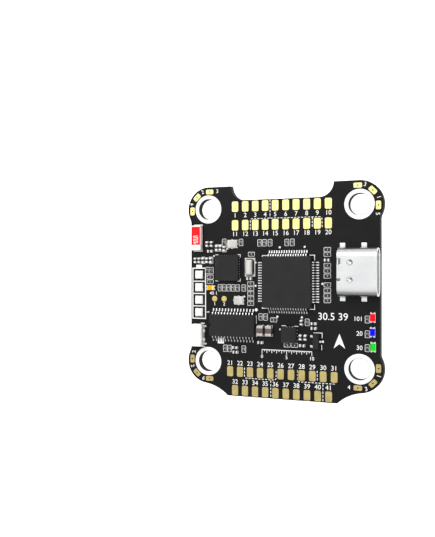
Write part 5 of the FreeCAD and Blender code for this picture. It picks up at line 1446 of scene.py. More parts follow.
# =====================================================================
# lamps
# =====================================================================
B, L, E = Build("gauge_lamp_bodies"), Build("gauge_lamp_lenses"), Build("gauge_lamp_lands")
for lo, hi in boxes("battery_lamp_bases"):
    c = centre((lo, hi))
    B.loops([[(x, y, z) for x, y in bitten(c[0], c[1], 0.8 - k, 0.8 - k, 0.17, 0.07, 0.07)]
             for z, k in ((T + 0.02, 0.0), (T + 0.26, 0.0), (T + 0.28, 0.02))])
    L.loops([[(x, y, z) for x, y in rrect(c[0], c[1], 0.66 - k, 0.64 - k, 0.12, 4)]
             for z, k in ((T + 0.27, 0.0), (T + 0.42, 0.015), (T + 0.53, 0.04), (T + 0.59, 0.09), (T + 0.62, 0.17))])
    for sx in (1, -1):
        for sy in (1, -1):
            lump(E, At(c[0] + sx * 0.62, c[1] + sy * 0.68, T), 0, 0, 0.24, 0.2, 0.05, [(0, 0), (0.03, 0.0), (0.2, 0.05), (0.24, 0.08)])
B.done("white_nylon", replaces=("battery_lamp_bases",))
L.done("lamp_white", replaces=("battery_lamp_lenses",))
W = Build("lamp_carriers")
for node, mat, x, y, flat in (("status_lamp_red", "lamp_red", 17.75, -5.65, 0), ("status_lamp_blue", "lamp_blue", 17.7, -8.35, 0),
                              ("status_lamp_green", "lamp_green", 17.8, -11.05, 0),
                              ("status_lamp_orange", "lamp_orange", -14.65, -0.5, 1)):
    dx, dy = (1.0, 0.0) if flat else (0.0, 1.0)
    A = At(x, y, T, dx, dy)
    # carrier with a half-round plated notch at each end
    ol = [(p - 0, q) for p, q in bitten(0, 0, 0.95, 0.475, 0.0, 0.17, 0)]
    W.loops([[A.p(p * k * 0.96, q * k, h) for p, q in ol] for h, k in ((0.03, 1.0), (0.27, 1.0), (0.29, 0.985))])
    for d in (1, -1):
        for v in (0.33, -0.33):
            lump(E, A, d * 0.85, v, 0.1, 0.145, 0.03, [(0.0, 0.0), (0.25, 0.0), (0.31, 0.03)])
            lump(E, A, d * 0.93, v, 0.07, 0.12, 0.04, [(0, 0), (0.03, 0.0), (0.1, 0.05)])
    Q = Build(node.replace("status_", "") + "_lens")
    span = (-0.66, 0.34) if flat else (-0.68, 0.68)
    cu, hu = (span[0] + span[1]) / 2, (span[1] - span[0]) / 2
    lump(Q, A, cu, 0, hu, 0.46, 0.05, [(0.28, 0.0), (0.36, 0.01), (0.47, 0.035), (0.53, 0.06), (0.55, 0.1)])
    Q.tag(0)
    if flat:
        lump(Q, A, 0.56, 0, 0.24, 0.46, 0.05, [(0.28, 0.0), (0.36, 0.01), (0.46, 0.03), (0.5, 0.07)])
        Q.tag(1)
    # cathode mark moulded beside the lens
    lump(Q, A, -0.78 if not flat else -0.8, 0, 0.07, 0.12, 0.02, [(0.28, 0.0), (0.31, 0.01), (0.315, 0.03)])
    Q.tag(0)
    Q.done([mat, "amber_end"], replaces=(node,))
W.done("white_nylon")
E.done("tin", replaces=("lamp_terminals",))

# =====================================================================
# two-ended chips
# =====================================================================
chip_bodies = boxes("chip_resistor_bodies") + boxes("chip_capacitor_bodies") + boxes("underside_chip_bodies")
C, S = Build("chip_end_caps"), Build("chip_end_solder")
ends = pair(chip_bodies, boxes("chip_terminals"))


def thick_film(e):
    """Resistors are lower than the capacitors."""
    return e[0][2] > 0.5 and e[1][2] - e[0][2] < 0.42


for e, dx, dy in ends:
    if not thick_film(e):
        A, length, wide, high = end_cap(C, e, dx, dy, 0.004, 0.04)
        end_solder(S, A, length, wide, high, 0.05, 0.35)
C.tag(0)
for e, dx, dy in ends:
    if thick_film(e):
        A, length, wide, high = end_cap(C, e, dx, dy, 0.004, 0.03)
        end_solder(C, A, length, wide, high, 0.05, 0.4)
C.tag(1)
C.done(["tin", "dark_tin"], replaces=("chip_terminals",))
S.done("solder")


def body_box(B, lo, hi, r, shrink=0.01):
    up = 1 if lo[2] > 0.5 else -1
    z = lo[2] if up > 0 else hi[2]
    A = At((lo[0] + hi[0]) / 2, (lo[1] + hi[1]) / 2, z, 1, 0, up)
    lump(B, A, 0, 0, (hi[0] - lo[0]) / 2 + 0.006, (hi[1] - lo[1]) / 2 - shrink, r, soft_levels(0.03, hi[2] - lo[2] - shrink, r, r))
    return A


B = Build("chip_resistors")
for lo, hi in boxes("chip_resistor_bodies"):
    h = hi[2] - lo[2]
    B.rbox((lo[0] - 0.004, lo[1] + 0.004, T + 0.03), (hi[0] + 0.004, hi[1] - 0.004, T + h - 0.05), 0.015)
B.tag(1)
for lo, hi in boxes("chip_resistor_bodies"):
    h = hi[2] - lo[2]
    long_y = hi[1] - lo[1] > hi[0] - lo[0]
    kx, ky = (0.02, 0.03) if long_y else (0.03, 0.02)
    A = At((lo[0] + hi[0]) / 2, (lo[1] + hi[1]) / 2, T)
    lump(B, A, 0, 0, (hi[0] - lo[0]) / 2 - kx, (hi[1] - lo[1]) / 2 - ky, 0.04, [(h - 0.06, 0.0), (h - 0.02, 0.0), (h - 0.004, 0.02), (h, 0.05)])
B.tag(0)
for lo, hi in boxes("chip_resistor_bodies"):
    # a thin white bar across the top of each, beside the middle
    h = T + hi[2] - lo[2]
    c = centre((lo, hi))
    if hi[1] - lo[1] > hi[0] - lo[0]:
        B.box((c[0] - 0.15, c[1] + 0.08, h - 0.004), (c[0] + 0.15, c[1] + 0.14, h + 0.004))
    else:
        B.box((c[0] + 0.08, c[1] - 0.15, h - 0.004), (c[0] + 0.14, c[1] + 0.15, h + 0.004))
B.tag(2)
B.done(["dark_glaze", "alumina", "white_ink"], replaces=("chip_resistor_bodies",))
B = Build("chip_capacitors")
for lo, hi in boxes("chip_capacitor_bodies"):
    body_box(B, lo, hi, 0.04)
B.done("brown_ceramic", replaces=("chip_capacitor_bodies",))
B = Build("underside_chips")
for lo, hi in boxes("underside_chip_bodies"):
    body_box(B, lo, hi, 0.04)
B.done("tan_ceramic", replaces=("underside_chip_bodies",))
for bn, tn, bname, tname, r in (("large_capacitor_bodies", "large_capacitor_terminals", "large_capacitors", "large_capacitor_ends", 0.08),
                                ("bulk_capacitor_bodies", "bulk_capacitor_terminals", "bulk_capacitors", "bulk_capacitor_ends", 0.1)):
    B = Build(bname)
    for lo, hi in boxes(bn):
        body_box(B, lo, hi, r, 0.015)
    B.done("tan_ceramic", replaces=(bn,))
    C, S = Build(tname), Build(bname + "_solder")
    for e, dx, dy in pair(boxes(bn), boxes(tn)):
        A, length, wide, high = end_cap(C, e, dx, dy, 0.008, r)
        end_solder(S, A, length, wide, high, 0.07, 0.34)
    C.done("cap_tin", replaces=(tn,))
    S.done("solder")

# =====================================================================
# boot switch
# =====================================================================
dress("boot_switch_housing", "white_nylon", 0.05, seg=3)
dress("boot_switch_plunger", "white_nylon", 0.05, seg=3)
# the snap spring, copied into a piece of its own in place of the CAD part
leaf_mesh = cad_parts["boot_switch_snap_spring"].data.copy()
leaf_mesh.transform(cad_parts["boot_switch_snap_spring"].matrix_world)
leaf = bpy.data.objects.new("boot_switch_leaf", leaf_mesh)
COL.objects.link(leaf)
finish_piece(leaf, "plated_steel", "board", ("boot_switch_snap_spring",))
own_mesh(leaf)
B = Build("switch_details")
sy = -10.03
for d in (1, -1):
    # heads of the two rivets that hold the case, and the moulded steps at its ends
    B.loops([[(-17.05 + r * math.cos(2 * math.pi * i / 24), sy + d * 1.72 + r * math.sin(2 * math.pi * i / 24), T + z) for i in range(24)]
             for z, r in ((1.63, 0.27), (1.68, 0.27), (1.715, 0.24), (1.73, 0.17))])
    B.rbox((-18.15, sy + d * 2.2 - 0.03, T + 0.3), (-16.5, sy + d * 2.2 + 0.05, T + 1.35), 0.02)
B.rbox((-17.65, sy - 1.25, T + 1.62), (-16.6, sy + 1.25, T + 1.685), 0.03, 0.08)
B.rbox((-18.33, sy - 2.1, T + 1.38), (-18.28, sy + 2.1, T + 1.6), 0.012)
B.done("white_nylon")
B = Build("switch_frame")
x0 = -16.25
B.rbox((x0, sy - 2.05, T), (x0 + 0.18, sy + 2.05, T + 1.5), 0.04, 0.04)
for d in (1, -1):
    # lugs folded over the top of the case
    B.rbox((x0 - 0.42, sy + d * 1.15 - 0.33, T + 1.6), (x0 + 0.16, sy + d * 1.15 + 0.33, T + 1.7), 0.03, 0.05)
    B.rbox((x0 + 0.02, sy + d * 1.15 - 0.33, T + 1.2), (x0 + 0.2, sy + d * 1.15 + 0.33, T + 1.68), 0.03, 0.04)
    B.rbox((x0 + 0.16, sy + d * 0.9 - 0.35, T), (x0 + 0.36, sy + d * 0.9 + 0.35, T + 0.5), 0.04, 0.04)
    B.rbox((x0 + 0.15, sy + d * 0.9 - 0.2, T + 0.75), (x0 + 0.205, sy + d * 0.9 + 0.2, T + 1.0), 0.015, 0.03)
B.done("silver_paste", replaces=("boot_switch_back_plate",))
B, S = Build("switch_terminals"), Build("switch_solder")
for lo, hi in boxes("boot_switch_terminals"):
    B.rbox((lo[0] - 0.06, lo[1], T + 0.01), (hi[0], hi[1], hi[2]), 0.03, 0.03)
    A = At(hi[0], (lo[1] + hi[1]) / 2, T, 1, 0)
    lump(S, A, -0.1, 0, 0.2, 0.19, 0.06, [(0, 0), (0.03, 0.0), (0.05, 0.02)])
    profile(S, A, [(-0.02, 0), (0.09, 0), (0.09, 0.03), (0.05, 0.07), (0.02, 0.13), (-0.02, 0.17)], -0.12, 0.12)
B.done("tin", replaces=("boot_switch_terminals",))
S.done("solder")

# =====================================================================
# USB-C socket
# =====================================================================
UX0, UX1, UY, UZ = 11.68, 19.08, 2.68, T + 1.6
UR, URUN = 1.6, 2.87          # corner radius and half the flat run of the section


def usb_section(k, fine=False):
    """Points of the stadium, inset by k, from the +Y edge over the top."""
    r = UR - k
    pts = []
    n = 20
    for i in range(n + 1):
        a = math.pi / 2 * (1 - 2 * 0) - math.pi * 0
        t = -math.pi / 2 + math.pi * i / n
        pts.append((URUN + r * math.cos(t), r * math.sin(t)))
    m = 82 if fine else 2
    for i in range(1, m):
        pts.append((URUN - 2 * URUN * i / m, r))
    for i in range(n + 1):
        t = math.pi / 2 + math.pi * i / n
        pts.append((-URUN + r * math.cos(t), r * math.sin(t)))
    m = 8 if fine else 2
    for i in range(1, m):
        pts.append((-URUN + 2 * URUN * i / m, -r))
    return [(UY + a, UZ + b) for a, b in pts]


def roof_shift(x, y):
    """How far the roof is pressed down at a place: two spring fingers, two rear crimps."""
    d = 0.0
    for yc in (4.43, 1.25):
        u, v = x - 14.08, y - yc
        if abs(u) < 0.56 and abs(v) < 0.56:
            e = math.hypot(u / 0.5, v / 0.52)
            if e < 1.0:
                # a round dimple, deepest towards its right
                d = max(d, 0.24 * (1 - e * e) * (0.65 + 0.7 * (u + 0.5)))
            if 0.86 < e < 1.08 and u > -0.1:
                d = max(d, 0.16)
    for yc, half in ((4.62, 0.5), (1.3, 0.19)):
        v = abs(y - yc)
        if v < half + 0.07 and x < 12.42:
            edge = min(1.0, (half + 0.07 - v) / 0.07) * min(1.0, (12.42 - x) / 0.12)
            d = max(d, 0.16 * edge)
    return d


stations = []
x = UX0
while x < UX1 - 1e-6:
    stations.append(x)
    step = 0.07 if (x < 12.6 or 13.35 < x < 14.75) else 0.25
    x += step
stations = [q for q in stations if q < UX1 - 0.55]
B = Build("usb_shell")
outer = [(UX0, 0.09), (UX0 + 0.03, 0.055)]
outer += [(q, 0.03) for q in stations if q > UX0 + 0.06]
outer += [(UX1 - 0.5, 0.03), (UX1 - 0.44, 0.02), (UX1 - 0.36, 0.0), (UX1 - 0.12, 0.0), (UX1 - 0.06, 0.015), (UX1 - 0.02, 0.05), (UX1, 0.1)]
inner = [(UX1, 0.19), (UX1 - 0.04, 0.25), (UX1 - 0.12, 0.28), (UX1 - 0.4, 0.3), (UX1 - 2.0, 0.3), (UX0 + 2.0, 0.3), (UX0 + 0.02, 0.3), (UX0, 0.26)]
rings = []
for q, k in outer:
    ring = []
    for y, z in usb_section(k, True):
        if z > UZ + UR - k - 1e-4 and abs(y - UY) < URUN + 0.01:
            z -= roof_shift(q, y)
        ring.append(B.bm.verts.new(P(q, y, z)))
    rings.append(ring)
for q, k in inner:
    rings.append([B.bm.verts.new(P(q, y, z)) for y, z in usb_section(k, True)])
n = len(rings[0])
for a, b in zip(rings, rings[1:] + [rings[0]]):
    for i in range(n):
        B.bm.faces.new((a[i], a[(i + 1) % n], b[(i + 1) % n], b[i]))
# legs pressed out of the sides, each with a rounded foot in its solder
for xm in (12.12, 16.14):
    for d in (1, -1):
        yy = UY + d * (4.47 - 0.14)
        B.rbox((xm - 0.525, yy - 0.13, T + 0.02), (xm + 0.525, yy + 0.135, UZ + 0.05), 0.05, 0.05)
        # small stop rib above each leg
        B.rbox((xm - 0.35, yy + d * 0.08 - 0.06, UZ + 0.02), (xm + 0.35, yy + d * 0.08 + 0.06, UZ + 0.2), 0.04, 0.05)
# seam along the floor, locked by a dovetail
B.strip([(UX0 + 0.05, UY), (UX0 + 2.6, UY), (UX0 + 2.75, UY + 0.3), (UX0 + 3.6, UY + 0.3), (UX0 + 3.75, UY), (UX1 - 0.1, UY)], 0.05,
        T + 0.0, T + 0.04)
B.done("plated_steel", replaces=("usb_c_shell",), smooth=42)
B = Build("usb_shell_painted_shade")
# dark strips laid on the roof, which is not cut: thin arcs where the slits round each spring finger are, and a broad
# crescent on the far side of each dimple; both are painted shade
for yc in (4.43, 1.25):
    for r, a0, a1, w in ((0.48, -58, 62, 0.1), (0.32, 10, 84, 0.2), (0.49, 118, 236, 0.05)):
        arc_ = [(14.08 + r * math.cos(math.radians(a0 + (a1 - a0) * i / 10)), yc + 1.04 * r * math.sin(math.radians(a0 + (a1 - a0) * i / 10)))
                for i in range(11)]
        n = len(arc_)
        lf, rt = [], []
        for i, (x, y) in enumerate(arc_):
            t = math.sin(math.pi * i / (n - 1)) * 0.85 + 0.15
            a = math.radians(a0 + (a1 - a0) * i / (n - 1))
            lf.append((x + math.cos(a) * w * t / 2, y + math.sin(a) * w * t / 2))
            rt.append((x - math.cos(a) * w * t / 2, y - math.sin(a) * w * t / 2))
        poly = lf + rt[::-1]
        zs_ = [min(4.795, 4.8 - 0.03 - roof_shift(x, y) + 0.022) for x, y in poly]
        up_ = [B.bm.verts.new(P(x, y, z)) for (x, y), z in zip(poly, zs_)]
        dn_ = [B.bm.verts.new(P(x, y, z - 0.05)) for (x, y), z in zip(poly, zs_)]
        m = len(poly)
        for i in range(n - 1):
            B.bm.faces.new((up_[i], up_[i + 1], up_[m - 2 - i], up_[m - 1 - i]))
            B.bm.faces.new((dn_[i + 1], dn_[i], dn_[m - 1 - i], dn_[m - 2 - i]))
        for i in range(m):
            B.bm.faces.new((dn_[i], dn_[(i + 1) % m], up_[(i + 1) % m], up_[i]))
B.tag(0)
# grey plates in the two rear notches stand for the dark insulator seen through a cut-out together with the notch's
# shade: partly painted shade
for x0_, x1_, y0_, y1_ in ((11.98, 12.36, 4.16, 5.1), (11.74, 12.36, 1.14, 1.46)):
    B.rbox((x0_, y0_, 4.55), (x1_, y1_, 4.665), 0.02, 0.05)
B.tag(1)
B.done(["dark_epoxy", "grey_mark_and_notch_shade"])
B = Build("usb_leg_solder")
for lo, hi in boxes("usb_c_leg_solder"):
    c = centre((lo, hi))
    d = math.copysign(1.0, c[1] - UY)
    A = At(c[0], c[1], T, 0, d)
    lump(B, A, -0.05, 0, (hi[1] - lo[1]) / 2 + 0.05, (hi[0] - lo[0]) / 2, 0.1,
         [(0, 0), (0.05, 0.0), (0.1, 0.03), (0.13, 0.08), (0.145, 0.2)], 4)
    # fillet climbing the leg
    pts = [(-0.7, 0.05), (0.1, 0.05), (-0.12, 0.14), (-0.3, 0.28), (-0.42, 0.5), (-0.5, 0.6), (-0.7, 0.6)]
    profile(B, A, pts, -0.46, 0.46)
B.done("solder", replaces=("usb_c_leg_solder",))
B = Build("usb_insulator")
lev = [(UX0 + 0.08, 0.36), (UX0 + 0.12, 0.31), (UX0 + 3.02, 0.31), (UX0 + 3.08, 0.36)]
B.loops([[(q, y, z) for y, z in usb_section(k)] for q, k in lev])
# the back: a recessed pocket frame and ribs between the two rows of tails
for d in (1, -1):
    B.rbox((UX0 - 0.0, UY + d * 2.3 - 0.5, UZ - 0.9), (UX0 + 0.12, UY + d * 2.3 + 0.5, UZ + 0.9), 0.03, 0.05)
B.rbox((UX0 - 0.0, UY - 1.6, UZ + 0.45), (UX0 + 0.12, UY + 1.6, UZ + 0.95), 0.03, 0.05)
B.rbox((UX0 - 0.0, UY - 3.3, T + 0.32), (UX0 + 0.12, UY + 3.3, T + 0.62), 0.03, 0.05)
# the step at the root of the tongue
B.rbox((UX0 + 3.0, UY - 3.1, UZ - 0.62), (UX0 + 3.75, UY + 3.1, UZ + 0.62), 0.04, 0.1)
B.done("black_nylon", replaces=("usb_c_rear_insulator",))
(tlo, thi), = boxes("usb_c_tongue")
B = Build("usb_tongue")
tz = (tlo[2] + thi[2]) / 2
prof = [(tlo[0], -0.33), (thi[0] - 0.35, -0.33), (thi[0] - 0.12, -0.2), (thi[0] - 0.03, -0.1), (thi[0], 0.0), (thi[0] - 0.03, 0.1),
        (thi[0] - 0.12, 0.2), (thi[0] - 0.35, 0.33), (tlo[0], 0.33)]
B.loops([[(u, y, tz + h * k) for u, h in prof] for y, k in ((tlo[1], 0.6), (tlo[1] + 0.1, 1.0), (thi[1] - 0.1, 1.0), (thi[1], 0.6))])
B.tag(0)
# ribs between the contacts
for i in range(13):
    y = UY + (i - 6) * 0.5
    for h in (0.33, -0.36):
        B.box((tlo[0], y - 0.05, tz + h), (thi[0] - 0.5, y + 0.05, tz + h + 0.03))
B.tag(0)
# the steel mid plate shows at the two sides
for d in (1, -1):
    y = UY + d * (3.345 - 0.03)
    B.rbox((tlo[0] + 0.5, y - 0.04, tz - 0.09), (thi[0] - 0.4, y + 0.04, tz + 0.09), 0.02)
B.tag(1)
B.done(["black_nylon", "plated_steel"], replaces=("usb_c_tongue",))
B = Build("usb_contacts")
for lo, hi in boxes("usb_c_contacts"):
    c = centre((lo, hi))
    long_ = (round((c[1] - UY) / 0.5 + 5.5)) in (0, 3, 8, 11)
    end = hi[0] + (0.15 if long_ else -0.1)
    B.rbox((lo[0], lo[1], lo[2]), (end, hi[1], hi[2]), 0.018, 0.06)
B.done("gold_pad", replaces=("usb_c_contacts",))

# =====================================================================
# underside: plug sockets
# =====================================================================
def plug_details(tag, wide, count, front, s):
    """Front at y = front, mouth facing s * Y."""
    def Y(a):
        return front - s * a
    B = Build(tag + "_details")
    hw = wide / 2
    for d in (1, -1):
        # side ribs
        ya, yb = sorted((Y(0.3), Y(3.4)))
        B.rbox((d * hw - 0.06, ya, -2.3), (d * hw + 0.06, yb, -1.95), 0.03, 0.05)
    for i in range(count):
        x = i - (count - 1) / 2.0
        # ribs between the blades at the back wall, seen from the rear
        ya, yb = sorted((Y(4.2), Y(4.34)))
        if i < count - 1:
            B.rbox((x + 0.36, ya, -2.5), (x + 0.64, yb, -0.3), 0.03, 0.03)
    # a chamfer strip round the mouth
    ya, yb = sorted((Y(-0.03), Y(0.1)))
    B.rbox((-hw + 0.5, ya, -0.86), (hw - 0.5, yb, -0.78), 0.02)
    # floor ribs in the mouth that key the plug
    ya, yb = sorted((Y(0.25), Y(2.9)))
    for d in (1, -1):
        B.rbox((d * (hw - 1.0) - 0.16, ya, -0.99), (d * (hw - 1.0) + 0.16, yb, -0.8), 0.03)
    B.done("natural_nylon")


for node in ("motor_link_socket_housing", "video_socket_housing"):
    dress(node, "natural_nylon", 0.05, seg=3)
plug_details("motor_link_socket", 10.0, 8, -21.7, -1)
plug_details("video_socket", 8.0, 6, 16.65, 1)
S = Build("socket_pin_solder")
for node, count, front, s, name in (("motor_link_socket_pins", 8, -21.7, -1, "motor_link_blades"), ("video_socket_pins", 6, 16.65, 1, "video_blades")):
    B = Build(name)
    for i in range(count):
        x = i - (count - 1) / 2.0
        # blade, bend and foot in one strip, drawn from inside the mouth to the board
        A = At(x, front - s * 4.25, 0.0, 0, -s, -1)     # u runs away from the mouth, h down from the board
        key = [(-3.85, 1.25), (-0.05, 1.25), (0.125, 1.2), (0.125, 0.3), (0.22, 0.11), (0.75, 0.1)]
        path = [key[0], (-0.6, 1.25), (-0.1, 1.25), (0.04, 1.22), (0.11, 1.14), (0.13, 1.02), (0.13, 0.34), (0.16, 0.2), (0.24, 0.12),
                (0.36, 0.1), (0.75, 0.1)]
        sweep(B, A, path, bev_rect(0.28, 0.2, 0.03))
        # pointed nose
        sweep(B, A, [(-3.84, 1.25), (-3.98, 1.25), (-4.0 + 0.0, 1.25)], bev_rect(0.2, 0.12, 0.02))
        lump(S, A, 0.5, 0, 0.42, 0.22, 0.06, [(0, 0), (0.03, 0.0), (0.05, 0.02)])
        profile(S, A, [(0.72, 0), (1.0, 0), (1.0, 0.03), (0.86, 0.07), (0.78, 0.15), (0.72, 0.2)], -0.13, 0.13)
    B.done("tin", replaces=(node,))
S.done("solder")
B, S = Build("socket_anchors"), Build("socket_anchor_solder")
for lo, hi in boxes("socket_anchor_tabs"):
    c = centre((lo, hi))
    d = math.copysign(1.0, c[0])
    A = At(lo[0] if d > 0 else hi[0], c[1], 0.0, d, 0, -1)
    pts = [(-0.04, 0.02), (0.6, 0.02), (0.62, 0.08), (0.6, 0.16), (0.3, 0.18), (0.22, 0.24), (0.18, 0.34), (0.18, 0.56), (0.14, 0.6), (-0.04, 0.6)]
    profile(B, A, pts, -0.8, 0.8)
    lump(S, A, 0.34, 0, 0.42, 0.92, 0.1, [(0, 0), (0.03, 0.0), (0.06, 0.03)])
    profile(S, A, [(0.1, 0.1), (0.66, 0.02), (0.62, 0.12), (0.4, 0.2), (0.26, 0.34), (0.1, 0.4)], -0.7, 0.7)
B.done("tin", replaces=("socket_anchor_tabs",))
S.done("solder")

# =====================================================================
# underside: card socket
# =====================================================================
CX0, CX1, CY = -18.95, -5.05, 6.8
B = Build("card_cover")
# the sheet: roof (which looks down here) and the two folded sides, cut out by windows
zt, zb = -1.65, -1.8


def sheet_with_windows(B, x0, x1, y0, y1, za, zc, windows):
    """A flat sheet from za to zc with rounded windows through it."""
    outer = rrect((x0 + x1) / 2, (y0 + y1) / 2, (x1 - x0) / 2, (y1 - y0) / 2, 0.15, 3)
    loops = [outer] + [w for w in windows]
    layer = []
    for z in (za, zc):
        edges, rows = [], []
        for lp in loops:
            vs = [B.bm.verts.new(P(x, y, z)) for x, y in lp]
            rows.append(vs)
            for i in range(len(vs)):
                edges.append(B.bm.edges.new((vs[i], vs[(i + 1) % len(vs)])))
        bmesh.ops.triangle_fill(B.bm, use_beauty=True, use_dissolve=False, edges=edges)
        layer.append(rows)
    for a, b in zip(*layer):
        n = len(a)
        for i in range(n):
            B.bm.faces.new((a[i], a[(i + 1) % n], b[(i + 1) % n], b[i]))


def u_cut(x, y, l, w, t=0.16):
    """A U shaped slit that frees a tongue pointing to -X."""
    h = w / 2
    return [(x + l, y - h), (x, y - h), (x, y + h), (x + l, y + h), (x + l, y + h - t), (x + t, y + h - t), (x + t, y - h + t),
            (x + l, y - h + t)]


wins = []
for yc in (-3.6, 3.6):
    wins.append(u_cut(-12.6, yc, 2.4, 1.5))
wins.append(rrect(-7.2, 0, 0.9, 1.7, 0.2, 4))
wins.append(rrect(-7.2, 4.6, 0.55, 0.9, 0.2, 4))
wins.append(rrect(-7.2, -4.6, 0.55, 0.9, 0.2, 4))
wins.append(rrect(-10.2, -5.6, 0.8, 0.28, 0.12, 3))
wins.append(rrect(-10.2, 5.6, 0.8, 0.28, 0.12, 3))
# a rounded window near the front edge for the thumb notch
wins.append(rrect(-17.6, 0, 0.35, 2.2, 0.3, 4))
sheet_with_windows(B, CX0, CX1, -CY, CY, zt, zb, wins)
for d in (1, -1):
    y = d * (CY - 0.075)
    # folded sides with two gaps
    for xa, xb in ((CX0 + 0.1, CX0 + 4.6), (CX0 + 5.4, CX1 - 3.0), (CX1 - 2.4, CX1 - 0.1)):
        B.rbox((xa, y - 0.075, -1.7), (xb, y + 0.075, -0.04), 0.03, 0.03)
    B.rbox((CX0 + 0.1, y - 0.075, -1.75), (CX1 - 0.1, y + 0.075, -1.2), 0.03, 0.03)
# stamped ribs and dimples standing out of the sheet, and the rolled front lip
for yc in (-5.2, 5.2):
    B.rbox((-17.9, yc - 0.22, -1.85), (-13.4, yc + 0.22, -1.78), 0.03, 0.2)
for yc in (-2.0, 2.0):
    B.rbox((-17.0, yc - 0.16, -1.84), (-13.6, yc + 0.16, -1.78), 0.025, 0.14)
for xc, yc in ((-9.2, -2.4), (-9.2, 2.4), (-15.2, 0.0), (-9.2, 0.0)):
    B.loops([[(xc + r * math.cos(2 * math.pi * i / 24), yc + r * math.sin(2 * math.pi * i / 24), z) for i in range(24)]
             for z, r in ((-1.79, 0.36), (-1.83, 0.33), (-1.855, 0.24), (-1.86, 0.12))])
B.rbox((CX0, -CY + 0.3, -1.84), (CX0 + 0.22, -2.6, -1.62), 0.05, 0.05)
B.rbox((CX0, 2.6, -1.84), (CX0 + 0.22, CY - 0.3, -1.62), 0.05, 0.05)
B.done("plated_steel", replaces=("card_socket_cover",))
B = Build("card_base")
B.rbox((CX0 + 0.25, -CY + 0.17, -0.6), (CX1, CY - 0.17, -0.02), 0.05, 0.1)
B.rbox((CX1 - 0.8, -CY + 0.17, -1.63), (CX1, CY - 0.17, -0.3), 0.05, 0.1)
# side rails and ribs on the floor
for d in (1, -1):
    ya, yb = sorted((d * (CY - 0.2), d * (CY - 0.85)))
    B.rbox((CX0 + 0.9, ya, -1.6), (CX1 - 0.5, yb, -0.4), 0.05, 0.1)
    ya, yb = sorted((d * (CY - 0.9), d * (CY - 1.25)))
    B.rbox((CX0 + 0.6, ya, -0.75), (CX1 - 2.0, yb, -0.5), 0.04, 0.08)
for i in range(9):
    y = (i - 4) * 1.1
    B.rbox((CX1 - 5.6, y - 0.12, -0.78), (CX1 - 1.0, y + 0.12, -0.5), 0.03, 0.04)
    if i < 8:
        # slots for the tails at the rear wall
        B.rbox((CX1 - 0.06, y + 0.2, -0.8), (CX1 + 0.05, y + 0.3, -0.1), 0.015)
B.done("black_nylon", replaces=("card_socket_base",))
B, S = Build("card_contacts"), Build("card_solder")
for lo, hi in boxes("card_socket_contacts"):
    c = centre((lo, hi))
    A = At(hi[0], c[1], -0.6, -1, 0, -1)
    # a sprung contact: flat root, rising arm, rounded nose
    path = [(0.0, 0.06), (0.9, 0.06), (1.3, 0.09), (2.4, 0.24), (3.0, 0.33), (3.3, 0.35), (3.6, 0.3), (3.9, 0.2)]
    sweep(B, A, path, bev_rect(0.56, 0.1, 0.02))
    # tail behind the socket
    A = At(CX1, c[1], 0.0, 1, 0, -1)
    sweep(B, A, [(-0.3, 0.35), (-0.05, 0.35), (0.06, 0.31), (0.12, 0.2), (0.18, 0.1), (0.28, 0.06), (0.62, 0.06)], bev_rect(0.42, 0.1, 0.02))
    lump(S, A, 0.42, 0, 0.34, 0.3, 0.06, [(0, 0), (0.03, 0.0), (0.045, 0.02)])
for x, d in ((CX0 + 2.2, 1), (CX0 + 2.2, -1), (CX1 - 1.6, 1), (CX1 - 1.6, -1)):
    A = At(x, d * CY, 0.0, 0, d, -1)
    lump(S, A, 0.25, 0, 0.3, 0.75, 0.1, [(0, 0), (0.04, 0.0), (0.09, 0.06)])
    profile(S, A, [(-0.05, 0.02), (0.34, 0.02), (0.2, 0.09), (0.08, 0.2), (0.02, 0.4), (-0.05, 0.45)], -0.55, 0.55)
B.done("gold_pad", replaces=("card_socket_contacts",))
S.done("solder")

# =====================================================================
# underside: power parts
# =====================================================================
B, W = Build("inductors"), Build("inductor_ends")
S = Build("inductor_solder")
for lo, hi in boxes("inductor_bodies"):
    c = centre((lo, hi))
    hx, hy = (hi[0] - lo[0]) / 2, (hi[1] - lo[1]) / 2
    lev = [(-0.03, 0.06), (-0.1, 0.0), (-1.6, 0.0), (-1.72, 0.04), (-1.82, 0.12), (-1.87, 0.24)]
    rings = [[B.bm.verts.new(P(x, y, z)) for x, y in rrect(c[0], c[1], hx - k, hy - k, 0.42, 5)] for z, k in lev]
    n = len(rings[0])
    for a, b in zip(rings, rings[1:]):
        for i in range(n):
            B.bm.faces.new((a[i], a[(i + 1) % n], b[(i + 1) % n], b[i]))
    B.bm.faces.new(rings[0][::-1])
    top_dimples(B, rings[-1], [(c[0] - 1.2, c[1] + 1.25, 0.2, 0.04), (c[0], c[1], 0.95, 0.02)], -1.87, -1)
for lo, hi in boxes("inductor_terminals"):
    c = centre((lo, hi))
    q = min((centre(b) for b in boxes("inductor_bodies")), key=lambda k: abs(k[0] - c[0]))
    d = math.copysign(1.0, c[0] - q[0])
    A = At(q[0] + d * 1.85, c[1], 0.0, d, 0, -1)
    path = [(-0.5, 0.05), (-0.05, 0.05), (0.05, 0.09), (0.085, 0.2), (0.085, 1.25), (0.05, 1.36), (-0.02, 1.42)]
    sweep(W, A, path, bev_rect(2.7, 0.11, 0.03))
    lump(S, A, 0.2, 0, 0.38, 1.5, 0.1, [(0, 0), (0.03, 0.0), (0.06, 0.03)])
    profile(S, A, [(0.05, 0.02), (0.5, 0.02), (0.32, 0.08), (0.2, 0.18), (0.14, 0.4), (0.05, 0.44)], -1.3, 1.3)
B.done("iron_powder", replaces=("inductor_bodies",))
W.done("tin", replaces=("inductor_terminals",))
S.done("solder")
B = Build("input_diode")
(dlo, dhi), = boxes("input_diode_body")
dc = centre((dlo, dhi))
mould(B, dc[0], dc[1], (dhi[0] - dlo[0]) / 2, (dhi[1] - dlo[1]) / 2, -0.03, dlo[2], -1.0, 0.16, 0.07, 0.1, (), up=-1)
B.tag(0)
